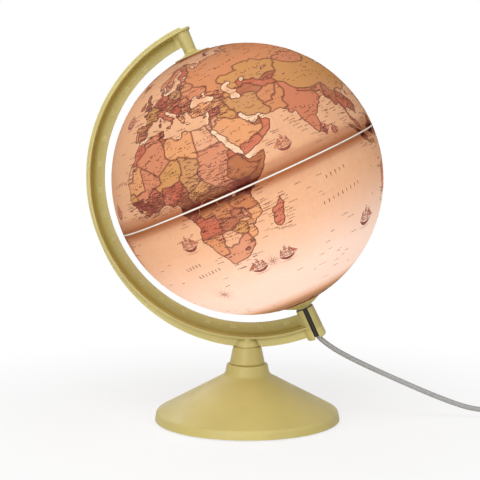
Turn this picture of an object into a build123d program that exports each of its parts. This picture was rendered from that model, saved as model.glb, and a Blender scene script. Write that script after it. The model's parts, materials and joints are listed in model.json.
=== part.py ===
from build123d import *
from math import acos, asin, cos, degrees, pi, radians, sin, sqrt, tan
import os

os.makedirs("parts", exist_ok=True)

# A lit desktop globe: a trumpet foot, a half-meridian arm and a globe that spins on its tilted axis.
# Millimetres, +Z up. The origin is on the table, under the middle of the foot. The arm lies in the XZ
# plane on the -X side, and the cord leaves towards +X.

# Fits and gaps
RUNNING_FIT = 0.08
SEAT_FIT = 0.05
GLUE_GAP = 0.1
END_PLAY = 0.15

# Globe
GLOBE_DIAMETER = 260.0
SHELL_WALL = 1.4
AXIS_TILT = 24.0
NORTH_HOLE_RADIUS = 8.0
SOUTH_HOLE_RADIUS = 16.3
JOINT_RING_WIDTH = 24.0
JOINT_RING_THICKNESS = 1.2
TAPE_WIDTH = 2.0
TAPE_THICKNESS = 0.2

# Pole caps
NORTH_CAP_RADIUS = 17.5
SOUTH_CAP_RADIUS = 18.6
NORTH_COLLAR_RADIUS = 6.2
SOUTH_COLLAR_RADIUS = 7.8
CAP_RIM_THICKNESS = 0.9
CAP_HEIGHT = 5.4
NORTH_COLLAR_LENGTH = 2.6
SOUTH_COLLAR_LENGTH = 0.8
NORTH_FLARE_SAG = 0.8
SOUTH_FLARE_BULGE = 0.3
CAP_SPIGOT_LENGTH = 3.0

# Meridian arm: a web with a cross flange and an outer rib
ARM_POLE_GAP = 10.5
ARM_EQUATOR_SHIFT = 3.6
WEB_DEPTH = 12.7
WEB_THICKNESS = 3.0
FLANGE_THICKNESS = 2.7
FLANGE_WIDTH = 17.0
FLANGE_EDGE_ROUND = 0.8
WEB_FILLET = 5.5
RIB_NORTH_HEIGHT = 2.6
RIB_EQUATOR_HEIGHT = 2.2
RIB_FLANK_HEIGHT = 6.4
RIB_FLANK_ANGLE = 218.0
RIB_SOUTH_HEIGHT = 8.8
POST_TIP_RADIUS = 6.1
POST_ROOT_RADIUS = 6.8
BOSS_TOP_RADIUS = 8.9
BOSS_END_RADIUS = 9.8
BOSS_LENGTH = 31.5
BOSS_END_ROUND = 2.5
BOSS_SLOT_WIDTH = 4.6
ARM_EDGE_ROUND = 0.6

# Dome and spigot that seat the arm in the neck
DOME_RADIUS = 11.2
DOME_TOP_RADIUS = 6.8
DOME_HEIGHT = 7.5
DOME_SUNK = 1.5
DOME_STEP = 0.3
DOME_ROOT = 1.0
DOME_BULGE = 0.8
DOME_FIN_WIDTH = 5.0
DOME_FIN_LOW_REACH = 10.2
DOME_FIN_HIGH_REACH = 8.9
DOME_FIN_DROP = 3.0
SPIGOT_RADIUS = 8.0
SPIGOT_LENGTH = 42.0

# Foot: skirt, cone and collar
FOOT_STAND_OFF = 1.0
BASE_RADIUS = 90.0
SKIRT_DRAFT = 1 / 6
SKIRT_HEIGHT = 7.7
CONE_HEIGHT = 36.2
COLLAR_RADIUS = 21.8
COLLAR_DRAFT = 0.19
COLLAR_TOP = 54.2
SHOULDER_ROUND = 4.0
COLLAR_FILLET = 7.0
COLLAR_EDGE_ROUND = 2.2
BASE_WALL = 2.6
SOCKET_WALL = 4.0
SOCKET_FLOOR = 3.0
RIB_COUNT = 6
RIB_THICKNESS = 2.0
RIB_REACH = 38.0
RIB_DROP = 8.0
RIB_BITE = 0.5

# Neck sleeve
NECK_FOOT_RADIUS = 17.2
NECK_TOP_RADIUS = 13.7
NECK_HEIGHT = 17.0
NECK_TENON_RADIUS = 14.0
NECK_TENON_LENGTH = 6.0
NECK_EDGE_ROUND = 1.0
NECK_CLEARANCE = 0.6

# Bolt, ballast, cover, screws and foot ring
BOLT_RADIUS = 2.5
BOLT_HEAD_RADIUS = 4.5
BOLT_HEAD_HEIGHT = 3.5
BOLT_GRIP = 20.0
WASHER_RADIUS = 8.0
WASHER_THICKNESS = 1.2
COVER_THICKNESS = 2.0
COVER_RECESS = 1.5
COVER_GAP = 0.4
BALLAST_INSET = 18.0
BALLAST_WIDTH = 30.0
BALLAST_HEIGHT = 8.0
COVER_SCREW_COUNT = 3
COVER_SCREW_INSET = 8.0
COVER_SCREW_RADIUS = 1.5
COVER_SCREW_LENGTH = 10.0
COVER_SCREW_HEAD_RADIUS = 3.0
COVER_SCREW_HEAD_HEIGHT = 1.6
SCREW_POST_RADIUS = 3.8
FOOT_RING_INSET = 10.0
FOOT_RING_WIDTH = 12.0

# North pivot and lamp
PIN_RADIUS = 2.5
PIN_IN_POST = 12.0
PIN_IN_GLOBE = 10.0
TUBE_RADIUS = 5.5
TUBE_BORE_RADIUS = 4.0
TUBE_INSET = 2.0
TUBE_IN_GLOBE = 19.0
TUBE_FLANGE_RADIUS = 8.2
TUBE_FLANGE_THICKNESS = 1.0
HOLDER_GRIP = 10.0
HOLDER_NECK_RADIUS = 8.4
HOLDER_RADIUS = 13.5
HOLDER_LENGTH = 53.0
HOLDER_FLOOR = 12.0
HOLDER_WALL = 2.6
WIRE_HOLE_RADIUS = 3.0
SHELL_THREAD_RADIUS = 7.1
SHELL_THREAD_WALL = 0.6
SHELL_THREAD_LENGTH = 22.0
SHELL_FOOT_WIDTH = 2.0
CONTACT_RADIUS = 4.6
CONTACT_THICKNESS = 0.6
CONTACT_DOME_RADIUS = 2.4
CONTACT_HEIGHT = 3.4
BULB_CAP_LENGTH = 25.0
BULB_TIP_RADIUS = 2.4
BULB_CONE_HEIGHT = 4.0
BULB_CUP_DEPTH = 6.0
BULB_CUP_WALL = 0.8
BULB_NECK_LENGTH = 16.0
BULB_RADIUS = 14.0
BULB_LENGTH = 54.0
BULB_WALL = 0.8

# Mains cord, switch, coil and plug. The cord's points run from below the boss to the switch.
CORD_RADIUS = 2.5
GROMMET_LENGTH = 5.4
CORD_START_INSET = 12.5
CORD_BEND_INSET = 1.7
CORD_POINTS = [
    (80.2, 0.0, 72.2),
    (93.0, 0.2, 64.2),
    (116.0, 0.8, 52.6),
    (152.0, 2.4, 36.0),
    (192.0, 3.8, 18.6),
]
SWITCH_RUN = 22.0
ARC_SHARE = 0.45
SWITCH_START = (244.0, 4.0)
SWITCH_LENGTH = 60.0
SWITCH_WIDTH = 25.0
SWITCH_HEIGHT = 17.0
SWITCH_CORNER_ROUND = 8.0
SWITCH_EDGE_ROUND = 2.0
SWITCH_PART_GAP = 0.05
ROCKER_RADIUS = 9.7
ROCKER_WIDTH = 10.4
ROCKER_GAP = 0.3
ROCKER_PIVOT_DROP = 3.8
ROCKER_BELOW = 3.0
ROCKER_RISE = 5.6
ROCKER_DIP = 1.9
ROCKER_TILT = 8.0
ROCKER_AXLE_RADIUS = 1.2
ROCKER_AXLE_LENGTH = 1.2
COIL_INNER_RADIUS = 19.9
COIL_PITCH = 6.7
COIL_TURNS = 3
COIL_LAYER_STEP = 6.3
COIL_ENTRY_RUN = 48.0
COIL_TAIL_RUN = 36.0
TIE_THICKNESS = 0.8
TIE_WIDTH = 6.0
TIE_GAP = 0.4
PLUG_LENGTH = 36.0
PLUG_REAR_WIDTH = 12.0
PLUG_FRONT_WIDTH = 35.0
PLUG_WAIST_WIDTH = 22.0
PLUG_WAIST = 14.0
PLUG_HEIGHT = 13.6
PLUG_EDGE_ROUND = 3.0
PLUG_PIN_RADIUS = 2.0
PLUG_PIN_LENGTH = 19.0
PLUG_PIN_SPACING = 18.6

# Foot heights, from the table up
rim_z = FOOT_STAND_OFF
skirt_corner = (BASE_RADIUS - SKIRT_DRAFT * SKIRT_HEIGHT, SKIRT_HEIGHT)
slope = CONE_HEIGHT / (skirt_corner[0] - COLLAR_RADIUS)
neck_foot_z = rim_z + COLLAR_TOP
neck_top_z = neck_foot_z + NECK_HEIGHT
dome_z = neck_top_z - DOME_SUNK
spigot_end_z = dome_z - SPIGOT_LENGTH
socket_end_z = spigot_end_z - SOCKET_FLOOR
cover_top_z = rim_z + COVER_RECESS + COVER_THICKNESS
cover_bottom_z = rim_z + COVER_RECESS
ballast_radius = BASE_RADIUS - BALLAST_INSET
ballast_inner_radius = ballast_radius - BALLAST_WIDTH
cover_screw_circle = ballast_inner_radius - COVER_SCREW_INSET

# Arm radii about the arm's own centre, which lies a little off the globe's centre, away from the arm
globe_radius = GLOBE_DIAMETER / 2
web_radius = globe_radius + ARM_POLE_GAP
flange_radius = web_radius + WEB_DEPTH
flange_outer_radius = flange_radius + FLANGE_THICKNESS

# The globe's centre stands over the foot, at the height where the flange rests on the dome
tilt = radians(AXIS_TILT)
arm_centre_x = ARM_EQUATOR_SHIFT * cos(tilt)
arm_centre_rise = ARM_EQUATOR_SHIFT * sin(tilt)
flange_drop = sqrt(flange_outer_radius**2 - arm_centre_x**2) - arm_centre_rise
globe_centre = Vector(0, 0, neck_top_z + DOME_HEIGHT + flange_drop)
east = Vector(cos(tilt), 0, sin(tilt))
north = Vector(-sin(tilt), 0, cos(tilt))
polar_axis = Axis(globe_centre, north)
meridian = Plane(origin=globe_centre, x_dir=east, z_dir=(0, -1, 0))

# Places along the polar axis, counted from the globe's centre
cap_end = globe_radius + CAP_HEIGHT
post_end = cap_end + END_PLAY
tube_flange_top = -(cap_end + END_PLAY)
boss_top = tube_flange_top - TUBE_FLANGE_THICKNESS - SEAT_FIT
boss_end = boss_top - BOSS_LENGTH
tube_end = boss_end + TUBE_INSET
tube_top = -globe_radius + TUBE_IN_GLOBE
holder_start = tube_top - HOLDER_GRIP
holder_floor = tube_top + HOLDER_FLOOR
holder_end = holder_start + HOLDER_LENGTH
bulb_tip = holder_floor + CONTACT_HEIGHT + SEAT_FIT
bulb_cap_end = bulb_tip + BULB_CAP_LENGTH
cord_start = boss_end + CORD_START_INSET


def axial(distance):
    """Plane square to the polar axis, facing north, at a distance from the globe's centre."""
    return Plane(origin=globe_centre + north * distance, x_dir=east, z_dir=north)


def arm_point(radius, angle):
    """Point in the meridian plane, in polar form about the arm's centre."""
    turn = radians(angle)
    return (ARM_EQUATOR_SHIFT + radius * cos(turn), radius * sin(turn))


def height_on(radius, x):
    """Height of a circle about the globe's centre over the point x."""
    return sqrt(radius**2 - x**2)


def corner(sketch, point):
    """The corner of a sketch nearest to a point."""
    return sketch.vertices().sort_by_distance((point[0], point[1], 0))[0]


def cone_height(radius):
    """Height of the foot's cone above the rim."""
    return SKIRT_HEIGHT + (skirt_corner[0] - radius) * slope


def ceiling_height(radius):
    """Height of the hollow under the cone, a wall below it."""
    return cone_height(radius) - BASE_WALL * sqrt(1 + slope**2)


# Base shell: skirt, cone and collar outside, socket, ribs and screw posts inside
collar_corner = (COLLAR_RADIUS, SKIRT_HEIGHT + CONE_HEIGHT)
collar_edge = (COLLAR_RADIUS - COLLAR_DRAFT * (COLLAR_TOP - collar_corner[1]), COLLAR_TOP)
inner_rim_radius = BASE_RADIUS - BASE_WALL
inner_corner_z = ceiling_height(inner_rim_radius) / (1 - SKIRT_DRAFT * slope)
inner_corner = (inner_rim_radius - SKIRT_DRAFT * inner_corner_z, inner_corner_z)
cover_radius = inner_rim_radius - SKIRT_DRAFT * (cover_top_z - rim_z) - COVER_GAP
tenon_socket_radius = NECK_TENON_RADIUS + SEAT_FIT
tenon_floor = COLLAR_TOP - NECK_TENON_LENGTH - SEAT_FIT
socket_radius = SPIGOT_RADIUS + SEAT_FIT
socket_outer_radius = socket_radius + SOCKET_WALL
socket_floor = spigot_end_z - rim_z - SEAT_FIT
socket_end = socket_end_z - rim_z
bolt_hole_radius = BOLT_RADIUS + RUNNING_FIT
rib_root = socket_outer_radius - SOCKET_WALL / 2
foot_plane = Plane(origin=(0, 0, rim_z), x_dir=(1, 0, 0), z_dir=(0, -1, 0))
rib_turns = [radians(360 * i / RIB_COUNT) for i in range(RIB_COUNT)]
rib_planes = [Plane((0, 0, rim_z), (cos(a), sin(a), 0), (sin(a), -cos(a), 0)) for a in rib_turns]
post_height = ceiling_height(cover_screw_circle) - (cover_top_z - rim_z)

with BuildPart() as base_shell:
    with BuildSketch(foot_plane) as base_profile:
        with BuildLine():
            Polyline(
                (inner_rim_radius, 0),
                (BASE_RADIUS, 0),
                skirt_corner,
                collar_corner,
                collar_edge,
                (tenon_socket_radius, COLLAR_TOP),
                (tenon_socket_radius, tenon_floor),
                (socket_radius, tenon_floor),
                (socket_radius, socket_floor),
                (bolt_hole_radius, socket_floor),
                (bolt_hole_radius, socket_end),
                (socket_outer_radius, socket_end),
                (socket_outer_radius, ceiling_height(socket_outer_radius)),
                inner_corner,
                close=True,
            )
        make_face()
        fillet(corner(base_profile, skirt_corner), SHOULDER_ROUND)
        fillet(corner(base_profile, collar_corner), COLLAR_FILLET)
        fillet(corner(base_profile, collar_edge), COLLAR_EDGE_ROUND)
    revolve(axis=Axis.Z)
    with BuildSketch(*rib_planes):
        Polygon(
            (rib_root, socket_end),
            (RIB_REACH, ceiling_height(RIB_REACH) - RIB_DROP),
            (RIB_REACH, ceiling_height(RIB_REACH) + RIB_BITE),
            (rib_root, ceiling_height(rib_root) + RIB_BITE),
            align=None,
        )
    extrude(amount=RIB_THICKNESS / 2, both=True)
    with BuildSketch(Plane.XY.offset(cover_top_z)):
        with PolarLocations(cover_screw_circle, COVER_SCREW_COUNT, start_angle=90):
            Circle(SCREW_POST_RADIUS)
    extrude(amount=post_height)
    with BuildSketch(Plane.XY.offset(cover_top_z)):
        with PolarLocations(cover_screw_circle, COVER_SCREW_COUNT, start_angle=90):
            Circle(COVER_SCREW_RADIUS + SEAT_FIT)
    extrude(amount=COVER_SCREW_LENGTH, mode=Mode.SUBTRACT)
base_shell.part.label = "base_shell"
export_step(base_shell.part, "parts/base_shell.step")

# Neck sleeve: stands in the collar on its tenon, its mouth takes the arm's dome
neck_mouth_radius = DOME_RADIUS + COVER_GAP
neck_mouth_floor = neck_top_z - DOME_SUNK - SEAT_FIT

with BuildPart() as neck_sleeve:
    with BuildSketch(Plane.XZ) as neck_profile:
        with BuildLine():
            Polyline(
                (socket_radius, neck_foot_z - NECK_TENON_LENGTH),
                (NECK_TENON_RADIUS, neck_foot_z - NECK_TENON_LENGTH),
                (NECK_TENON_RADIUS, neck_foot_z),
                (NECK_FOOT_RADIUS, neck_foot_z),
                (NECK_TOP_RADIUS, neck_top_z),
                (neck_mouth_radius, neck_top_z),
                (neck_mouth_radius, neck_mouth_floor),
                (socket_radius, neck_mouth_floor),
                close=True,
            )
        make_face()
        fillet(corner(neck_profile, (NECK_TOP_RADIUS, neck_top_z)), NECK_EDGE_ROUND)
        fillet(corner(neck_profile, (NECK_FOOT_RADIUS, neck_foot_z)), NECK_EDGE_ROUND)
    revolve(axis=Axis.Z)
neck_sleeve.part.label = "neck_sleeve"
export_step(neck_sleeve.part, "parts/neck_sleeve.step")

# Meridian arm: flange with a round nose, web, outer rib, post, slotted boss, dome and spigot
half_flange = FLANGE_WIDTH / 2
half_span = flange_outer_radius + RIB_SOUTH_HEIGHT
rib_foot_radius = flange_radius + FLANGE_THICKNESS / 2
rib_north_angle = degrees(acos(-ARM_EQUATOR_SHIFT / rib_foot_radius))
rib_south_angle = 360 - rib_north_angle
arm_centre = globe_centre + east * ARM_EQUATOR_SHIFT
arm_axis = Axis(arm_centre, Vector(0, -1, 0))
web_start = east * cos(radians(rib_north_angle)) + north * sin(radians(rib_north_angle))
web_section = Plane(origin=arm_centre, x_dir=web_start, z_dir=web_start.cross(Vector(0, 1, 0)))
rib_north_mean = (RIB_NORTH_HEIGHT + RIB_EQUATOR_HEIGHT) / 2
dome_edge = (DOME_RADIUS, neck_top_z + DOME_STEP)
dome_head = (DOME_TOP_RADIUS, neck_top_z + DOME_HEIGHT + DOME_ROOT)
dome_chord = Vector(dome_head[0] - dome_edge[0], dome_head[1] - dome_edge[1]).normalized()
dome_mid = (
    (dome_edge[0] + dome_head[0]) / 2 + DOME_BULGE * dome_chord.Y,
    (dome_edge[1] + dome_head[1]) / 2 - DOME_BULGE * dome_chord.X,
)
fin_low_z = neck_top_z + DOME_HEIGHT - DOME_FIN_DROP
fin_high_z = neck_top_z + DOME_HEIGHT + FLANGE_THICKNESS / 2

with BuildPart() as meridian_arm:
    with BuildSketch(meridian):
        with Locations((ARM_EQUATOR_SHIFT, 0)):
            Circle(flange_outer_radius)
            Circle(flange_radius, mode=Mode.SUBTRACT)
        Rectangle(half_span, half_span, align=(Align.MIN, Align.MAX), mode=Mode.SUBTRACT)
        with Locations((half_flange, 0)):
            Rectangle(half_span, half_span, align=(Align.MIN, Align.MIN), mode=Mode.SUBTRACT)
    extrude(amount=half_flange, both=True)
    nose = globe_centre + east * half_flange + north * flange_radius
    nose_edges = meridian_arm.edges().filter_by(polar_axis).sort_by_distance(nose)[:2]
    fillet(nose_edges, half_flange - ARM_EDGE_ROUND)
    flange_rims = meridian_arm.edges().filter_by(GeomType.CIRCLE)
    fillet([rim for rim in flange_rims if rim.radius > web_radius], FLANGE_EDGE_ROUND)
    with BuildSketch(meridian):
        with Locations((ARM_EQUATOR_SHIFT, 0)):
            Circle(rib_foot_radius)
            Circle(web_radius, mode=Mode.SUBTRACT)
        Rectangle(half_span, 2 * half_span, align=(Align.MIN, Align.CENTER), mode=Mode.SUBTRACT)
    extrude(amount=WEB_THICKNESS / 2, both=True)
    with BuildSketch(web_section):
        for side in (1, -1):
            web_face = side * WEB_THICKNESS / 2
            fillet_end = side * (WEB_THICKNESS / 2 + WEB_FILLET)
            with BuildLine():
                RadiusArc(
                    (flange_radius - WEB_FILLET, web_face), (flange_radius, fillet_end), -side * WEB_FILLET
                )
                Polyline(
                    (flange_radius, fillet_end),
                    (rib_foot_radius, fillet_end),
                    (rib_foot_radius, 0),
                    (flange_radius - WEB_FILLET, 0),
                    (flange_radius - WEB_FILLET, web_face),
                )
            make_face()
    revolve(axis=arm_axis, revolution_arc=rib_south_angle - rib_north_angle)
    with BuildSketch(meridian):
        with BuildLine():
            ThreePointArc(
                arm_point(flange_outer_radius + RIB_NORTH_HEIGHT, rib_north_angle),
                arm_point(flange_outer_radius + rib_north_mean, (rib_north_angle + 180) / 2),
                arm_point(flange_outer_radius + RIB_EQUATOR_HEIGHT, 180),
            )
            ThreePointArc(
                arm_point(flange_outer_radius + RIB_EQUATOR_HEIGHT, 180),
                arm_point(flange_outer_radius + RIB_FLANK_HEIGHT, RIB_FLANK_ANGLE),
                arm_point(flange_outer_radius + RIB_SOUTH_HEIGHT, rib_south_angle),
            )
            Line(
                arm_point(flange_outer_radius + RIB_SOUTH_HEIGHT, rib_south_angle),
                arm_point(rib_foot_radius, rib_south_angle),
            )
            ThreePointArc(
                arm_point(rib_foot_radius, rib_south_angle),
                arm_point(rib_foot_radius, 180),
                arm_point(rib_foot_radius, rib_north_angle),
            )
            Line(
                arm_point(rib_foot_radius, rib_north_angle),
                arm_point(flange_outer_radius + RIB_NORTH_HEIGHT, rib_north_angle),
            )
        make_face()
    extrude(amount=WEB_THICKNESS / 2, both=True)
    with BuildSketch(Plane.XY.offset(neck_top_z + DOME_STEP)):
        Circle(NECK_TOP_RADIUS + NECK_CLEARANCE)
    extrude(amount=-RIB_SOUTH_HEIGHT, mode=Mode.SUBTRACT)
    with BuildSketch(meridian):
        Polygon(
            (0, post_end),
            (POST_TIP_RADIUS, post_end),
            (POST_ROOT_RADIUS, rib_foot_radius),
            (0, rib_foot_radius),
            align=None,
        )
    revolve(axis=polar_axis)
    with BuildSketch(meridian) as boss_profile:
        Polygon(
            (0, boss_top),
            (BOSS_TOP_RADIUS, boss_top),
            (BOSS_END_RADIUS, boss_end),
            (0, boss_end),
            align=None,
        )
        fillet(corner(boss_profile, (BOSS_END_RADIUS, boss_end)), BOSS_END_ROUND)
    revolve(axis=polar_axis)
    with BuildSketch(Plane.XZ):
        with BuildLine():
            Polyline(
                dome_head,
                (0, dome_head[1]),
                (0, spigot_end_z),
                (SPIGOT_RADIUS, spigot_end_z),
                (SPIGOT_RADIUS, dome_z),
                (DOME_RADIUS, dome_z),
                dome_edge,
            )
            ThreePointArc(dome_edge, dome_mid, dome_head)
        make_face()
    revolve(axis=Axis.Z)
    with BuildSketch(Plane.YZ):
        Polygon(
            (-DOME_FIN_LOW_REACH, fin_low_z),
            (DOME_FIN_LOW_REACH, fin_low_z),
            (DOME_FIN_HIGH_REACH, fin_high_z),
            (-DOME_FIN_HIGH_REACH, fin_high_z),
            align=None,
        )
    extrude(amount=DOME_FIN_WIDTH / 2, both=True)
    with BuildSketch(axial(boss_end)):
        Circle(TUBE_RADIUS + SEAT_FIT)
        Rectangle(BOSS_SLOT_WIDTH, 2 * BOSS_END_RADIUS, align=(Align.CENTER, Align.MAX))
    extrude(amount=BOSS_LENGTH, mode=Mode.SUBTRACT)
    with BuildSketch(axial(post_end)):
        Circle(PIN_RADIUS + SEAT_FIT)
    extrude(amount=PIN_IN_POST, mode=Mode.SUBTRACT)
    with BuildSketch(Plane.XY.offset(spigot_end_z)):
        Circle(BOLT_RADIUS + SEAT_FIT)
    extrude(amount=BOLT_GRIP, mode=Mode.SUBTRACT)
meridian_arm.part.label = "meridian_arm"
export_step(meridian_arm.part, "parts/meridian_arm.step")

# Bolt and washer that pull the spigot down
with BuildPart() as arm_washer:
    with BuildSketch(Plane.XY.offset(socket_end_z - WASHER_THICKNESS)):
        Circle(WASHER_RADIUS)
        Circle(bolt_hole_radius, mode=Mode.SUBTRACT)
    extrude(amount=WASHER_THICKNESS)
arm_washer.part.label = "arm_washer"
export_step(arm_washer.part, "parts/arm_washer.step")

bolt_seat_z = socket_end_z - WASHER_THICKNESS

with BuildPart() as arm_bolt:
    with BuildSketch(Plane.XY.offset(bolt_seat_z)):
        RegularPolygon(BOLT_HEAD_RADIUS, 6)
    extrude(amount=-BOLT_HEAD_HEIGHT)
    with BuildSketch(Plane.XY.offset(bolt_seat_z)):
        Circle(BOLT_RADIUS)
    extrude(amount=spigot_end_z + BOLT_GRIP - bolt_seat_z - END_PLAY)
arm_bolt.part.label = "arm_bolt"
export_step(arm_bolt.part, "parts/arm_bolt.step")

# Ballast ring, cover, its screws and the rubber ring it stands on
foot_ring_radius = BASE_RADIUS - FOOT_RING_INSET

with BuildPart() as ballast_ring:
    with BuildSketch(Plane.XY.offset(cover_top_z)):
        Circle(ballast_radius)
        Circle(ballast_inner_radius, mode=Mode.SUBTRACT)
    extrude(amount=BALLAST_HEIGHT)
    chamfer(ballast_ring.edges().group_by(Axis.Z)[-1], COVER_GAP)
ballast_ring.part.label = "ballast_ring"
export_step(ballast_ring.part, "parts/ballast_ring.step")

with BuildPart() as base_cover:
    with BuildSketch(Plane.XY.offset(cover_bottom_z)):
        Circle(cover_radius)
        with PolarLocations(cover_screw_circle, COVER_SCREW_COUNT, start_angle=90):
            Circle(COVER_SCREW_RADIUS + SEAT_FIT, mode=Mode.SUBTRACT)
    extrude(amount=COVER_THICKNESS)
base_cover.part.label = "base_cover"
export_step(base_cover.part, "parts/base_cover.step")

with BuildPart() as cover_screws:
    with BuildSketch(Plane.XY.offset(cover_bottom_z)):
        with PolarLocations(cover_screw_circle, COVER_SCREW_COUNT, start_angle=90):
            Circle(COVER_SCREW_HEAD_RADIUS)
    extrude(amount=-COVER_SCREW_HEAD_HEIGHT)
    chamfer(cover_screws.edges().group_by(Axis.Z)[0], COVER_GAP)
    with BuildSketch(Plane.XY.offset(cover_bottom_z)):
        with PolarLocations(cover_screw_circle, COVER_SCREW_COUNT, start_angle=90):
            Circle(COVER_SCREW_RADIUS)
    extrude(amount=COVER_THICKNESS + COVER_SCREW_LENGTH - END_PLAY)
cover_screws.part.label = "cover_screws"
export_step(cover_screws.part, "parts/cover_screws.step")

with BuildPart() as foot_ring:
    with BuildSketch():
        Circle(foot_ring_radius)
        Circle(foot_ring_radius - FOOT_RING_WIDTH, mode=Mode.SUBTRACT)
    extrude(amount=cover_bottom_z)
    fillet(foot_ring.edges().group_by(Axis.Z)[0], COVER_GAP)
foot_ring.part.label = "foot_ring"
export_step(foot_ring.part, "parts/foot_ring.step")

# Globe shells, the ring that joins them and the tape over the joint
inner_radius = globe_radius - SHELL_WALL
north_edge_angle = degrees(acos(NORTH_HOLE_RADIUS / globe_radius))
north_inner_angle = degrees(acos(NORTH_HOLE_RADIUS / inner_radius))
south_edge_angle = degrees(acos(SOUTH_HOLE_RADIUS / globe_radius))
south_inner_angle = degrees(acos(SOUTH_HOLE_RADIUS / inner_radius))
ring_radius = inner_radius - GLUE_GAP
ring_angle = degrees(asin(JOINT_RING_WIDTH / 2 / ring_radius))
ring_inner_radius = ring_radius - JOINT_RING_THICKNESS
tape_radius = globe_radius + GLUE_GAP / 5
tape_angle = degrees(asin(TAPE_WIDTH / 2 / tape_radius))

with BuildPart() as north_hemisphere:
    with BuildSketch(meridian):
        with BuildLine():
            CenterArc((0, 0), globe_radius, 0, north_edge_angle)
            CenterArc((0, 0), inner_radius, 0, north_inner_angle)
            Line((inner_radius, 0), (globe_radius, 0))
            Line(
                (NORTH_HOLE_RADIUS, height_on(inner_radius, NORTH_HOLE_RADIUS)),
                (NORTH_HOLE_RADIUS, height_on(globe_radius, NORTH_HOLE_RADIUS)),
            )
        make_face()
    revolve(axis=polar_axis)
north_hemisphere.part.label = "north_hemisphere"
export_step(north_hemisphere.part, "parts/north_hemisphere.step")

with BuildPart() as south_hemisphere:
    with BuildSketch(meridian):
        with BuildLine():
            CenterArc((0, 0), globe_radius, 0, -south_edge_angle)
            CenterArc((0, 0), inner_radius, 0, -south_inner_angle)
            Line((inner_radius, 0), (globe_radius, 0))
            Line(
                (SOUTH_HOLE_RADIUS, -height_on(inner_radius, SOUTH_HOLE_RADIUS)),
                (SOUTH_HOLE_RADIUS, -height_on(globe_radius, SOUTH_HOLE_RADIUS)),
            )
        make_face()
    revolve(axis=polar_axis)
south_hemisphere.part.label = "south_hemisphere"
export_step(south_hemisphere.part, "parts/south_hemisphere.step")

with BuildPart() as joint_ring:
    with BuildSketch(meridian):
        with BuildLine():
            outer_arc = CenterArc((0, 0), ring_radius, -ring_angle, 2 * ring_angle)
            inner_arc = CenterArc((0, 0), ring_inner_radius, -ring_angle, 2 * ring_angle)
            Line(outer_arc @ 0, inner_arc @ 0)
            Line(outer_arc @ 1, inner_arc @ 1)
        make_face()
    revolve(axis=polar_axis)
joint_ring.part.label = "joint_ring"
export_step(joint_ring.part, "parts/joint_ring.step")

with BuildPart() as equator_tape:
    with BuildSketch(meridian):
        with BuildLine():
            under_arc = CenterArc((0, 0), tape_radius, -tape_angle, 2 * tape_angle)
            over_arc = CenterArc((0, 0), tape_radius + TAPE_THICKNESS, -tape_angle, 2 * tape_angle)
            Line(under_arc @ 0, over_arc @ 0)
            Line(under_arc @ 1, over_arc @ 1)
        make_face()
    revolve(axis=polar_axis)
equator_tape.part.label = "equator_tape"
export_step(equator_tape.part, "parts/equator_tape.step")

# Pole caps: a thin flared disc on the shell, a collar outside and a spigot in the shell's hole
cap_seat_radius = globe_radius + GLUE_GAP
north_flare_top = cap_end - NORTH_COLLAR_LENGTH
south_flare_top = SOUTH_COLLAR_LENGTH - cap_end
spigot_end = inner_radius - CAP_SPIGOT_LENGTH
north_rim = height_on(cap_seat_radius, NORTH_CAP_RADIUS)
south_rim = -height_on(cap_seat_radius, SOUTH_CAP_RADIUS)
north_spigot_radius = NORTH_HOLE_RADIUS - GLUE_GAP
south_spigot_radius = SOUTH_HOLE_RADIUS - GLUE_GAP
north_seat_mid = (NORTH_CAP_RADIUS + north_spigot_radius) / 2
south_seat_mid = (SOUTH_CAP_RADIUS + south_spigot_radius) / 2
north_flare_mid = (
    (NORTH_COLLAR_RADIUS + NORTH_CAP_RADIUS) / 2,
    (north_flare_top + north_rim + CAP_RIM_THICKNESS) / 2 - NORTH_FLARE_SAG,
)
south_flare_mid = (
    (SOUTH_COLLAR_RADIUS + SOUTH_CAP_RADIUS) / 2,
    (south_flare_top + south_rim - CAP_RIM_THICKNESS) / 2 - SOUTH_FLARE_BULGE,
)

with BuildPart() as north_cap:
    with BuildSketch(meridian):
        with BuildLine():
            Polyline(
                (north_spigot_radius, height_on(cap_seat_radius, north_spigot_radius)),
                (north_spigot_radius, spigot_end),
                (PIN_RADIUS + RUNNING_FIT, spigot_end),
                (PIN_RADIUS + RUNNING_FIT, cap_end),
                (NORTH_COLLAR_RADIUS, cap_end),
                (NORTH_COLLAR_RADIUS, north_flare_top),
            )
            ThreePointArc(
                (NORTH_COLLAR_RADIUS, north_flare_top),
                north_flare_mid,
                (NORTH_CAP_RADIUS, north_rim + CAP_RIM_THICKNESS),
            )
            Line((NORTH_CAP_RADIUS, north_rim + CAP_RIM_THICKNESS), (NORTH_CAP_RADIUS, north_rim))
            ThreePointArc(
                (NORTH_CAP_RADIUS, north_rim),
                (north_seat_mid, height_on(cap_seat_radius, north_seat_mid)),
                (north_spigot_radius, height_on(cap_seat_radius, north_spigot_radius)),
            )
        make_face()
    revolve(axis=polar_axis)
north_cap.part.label = "north_cap"
export_step(north_cap.part, "parts/north_cap.step")

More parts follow.
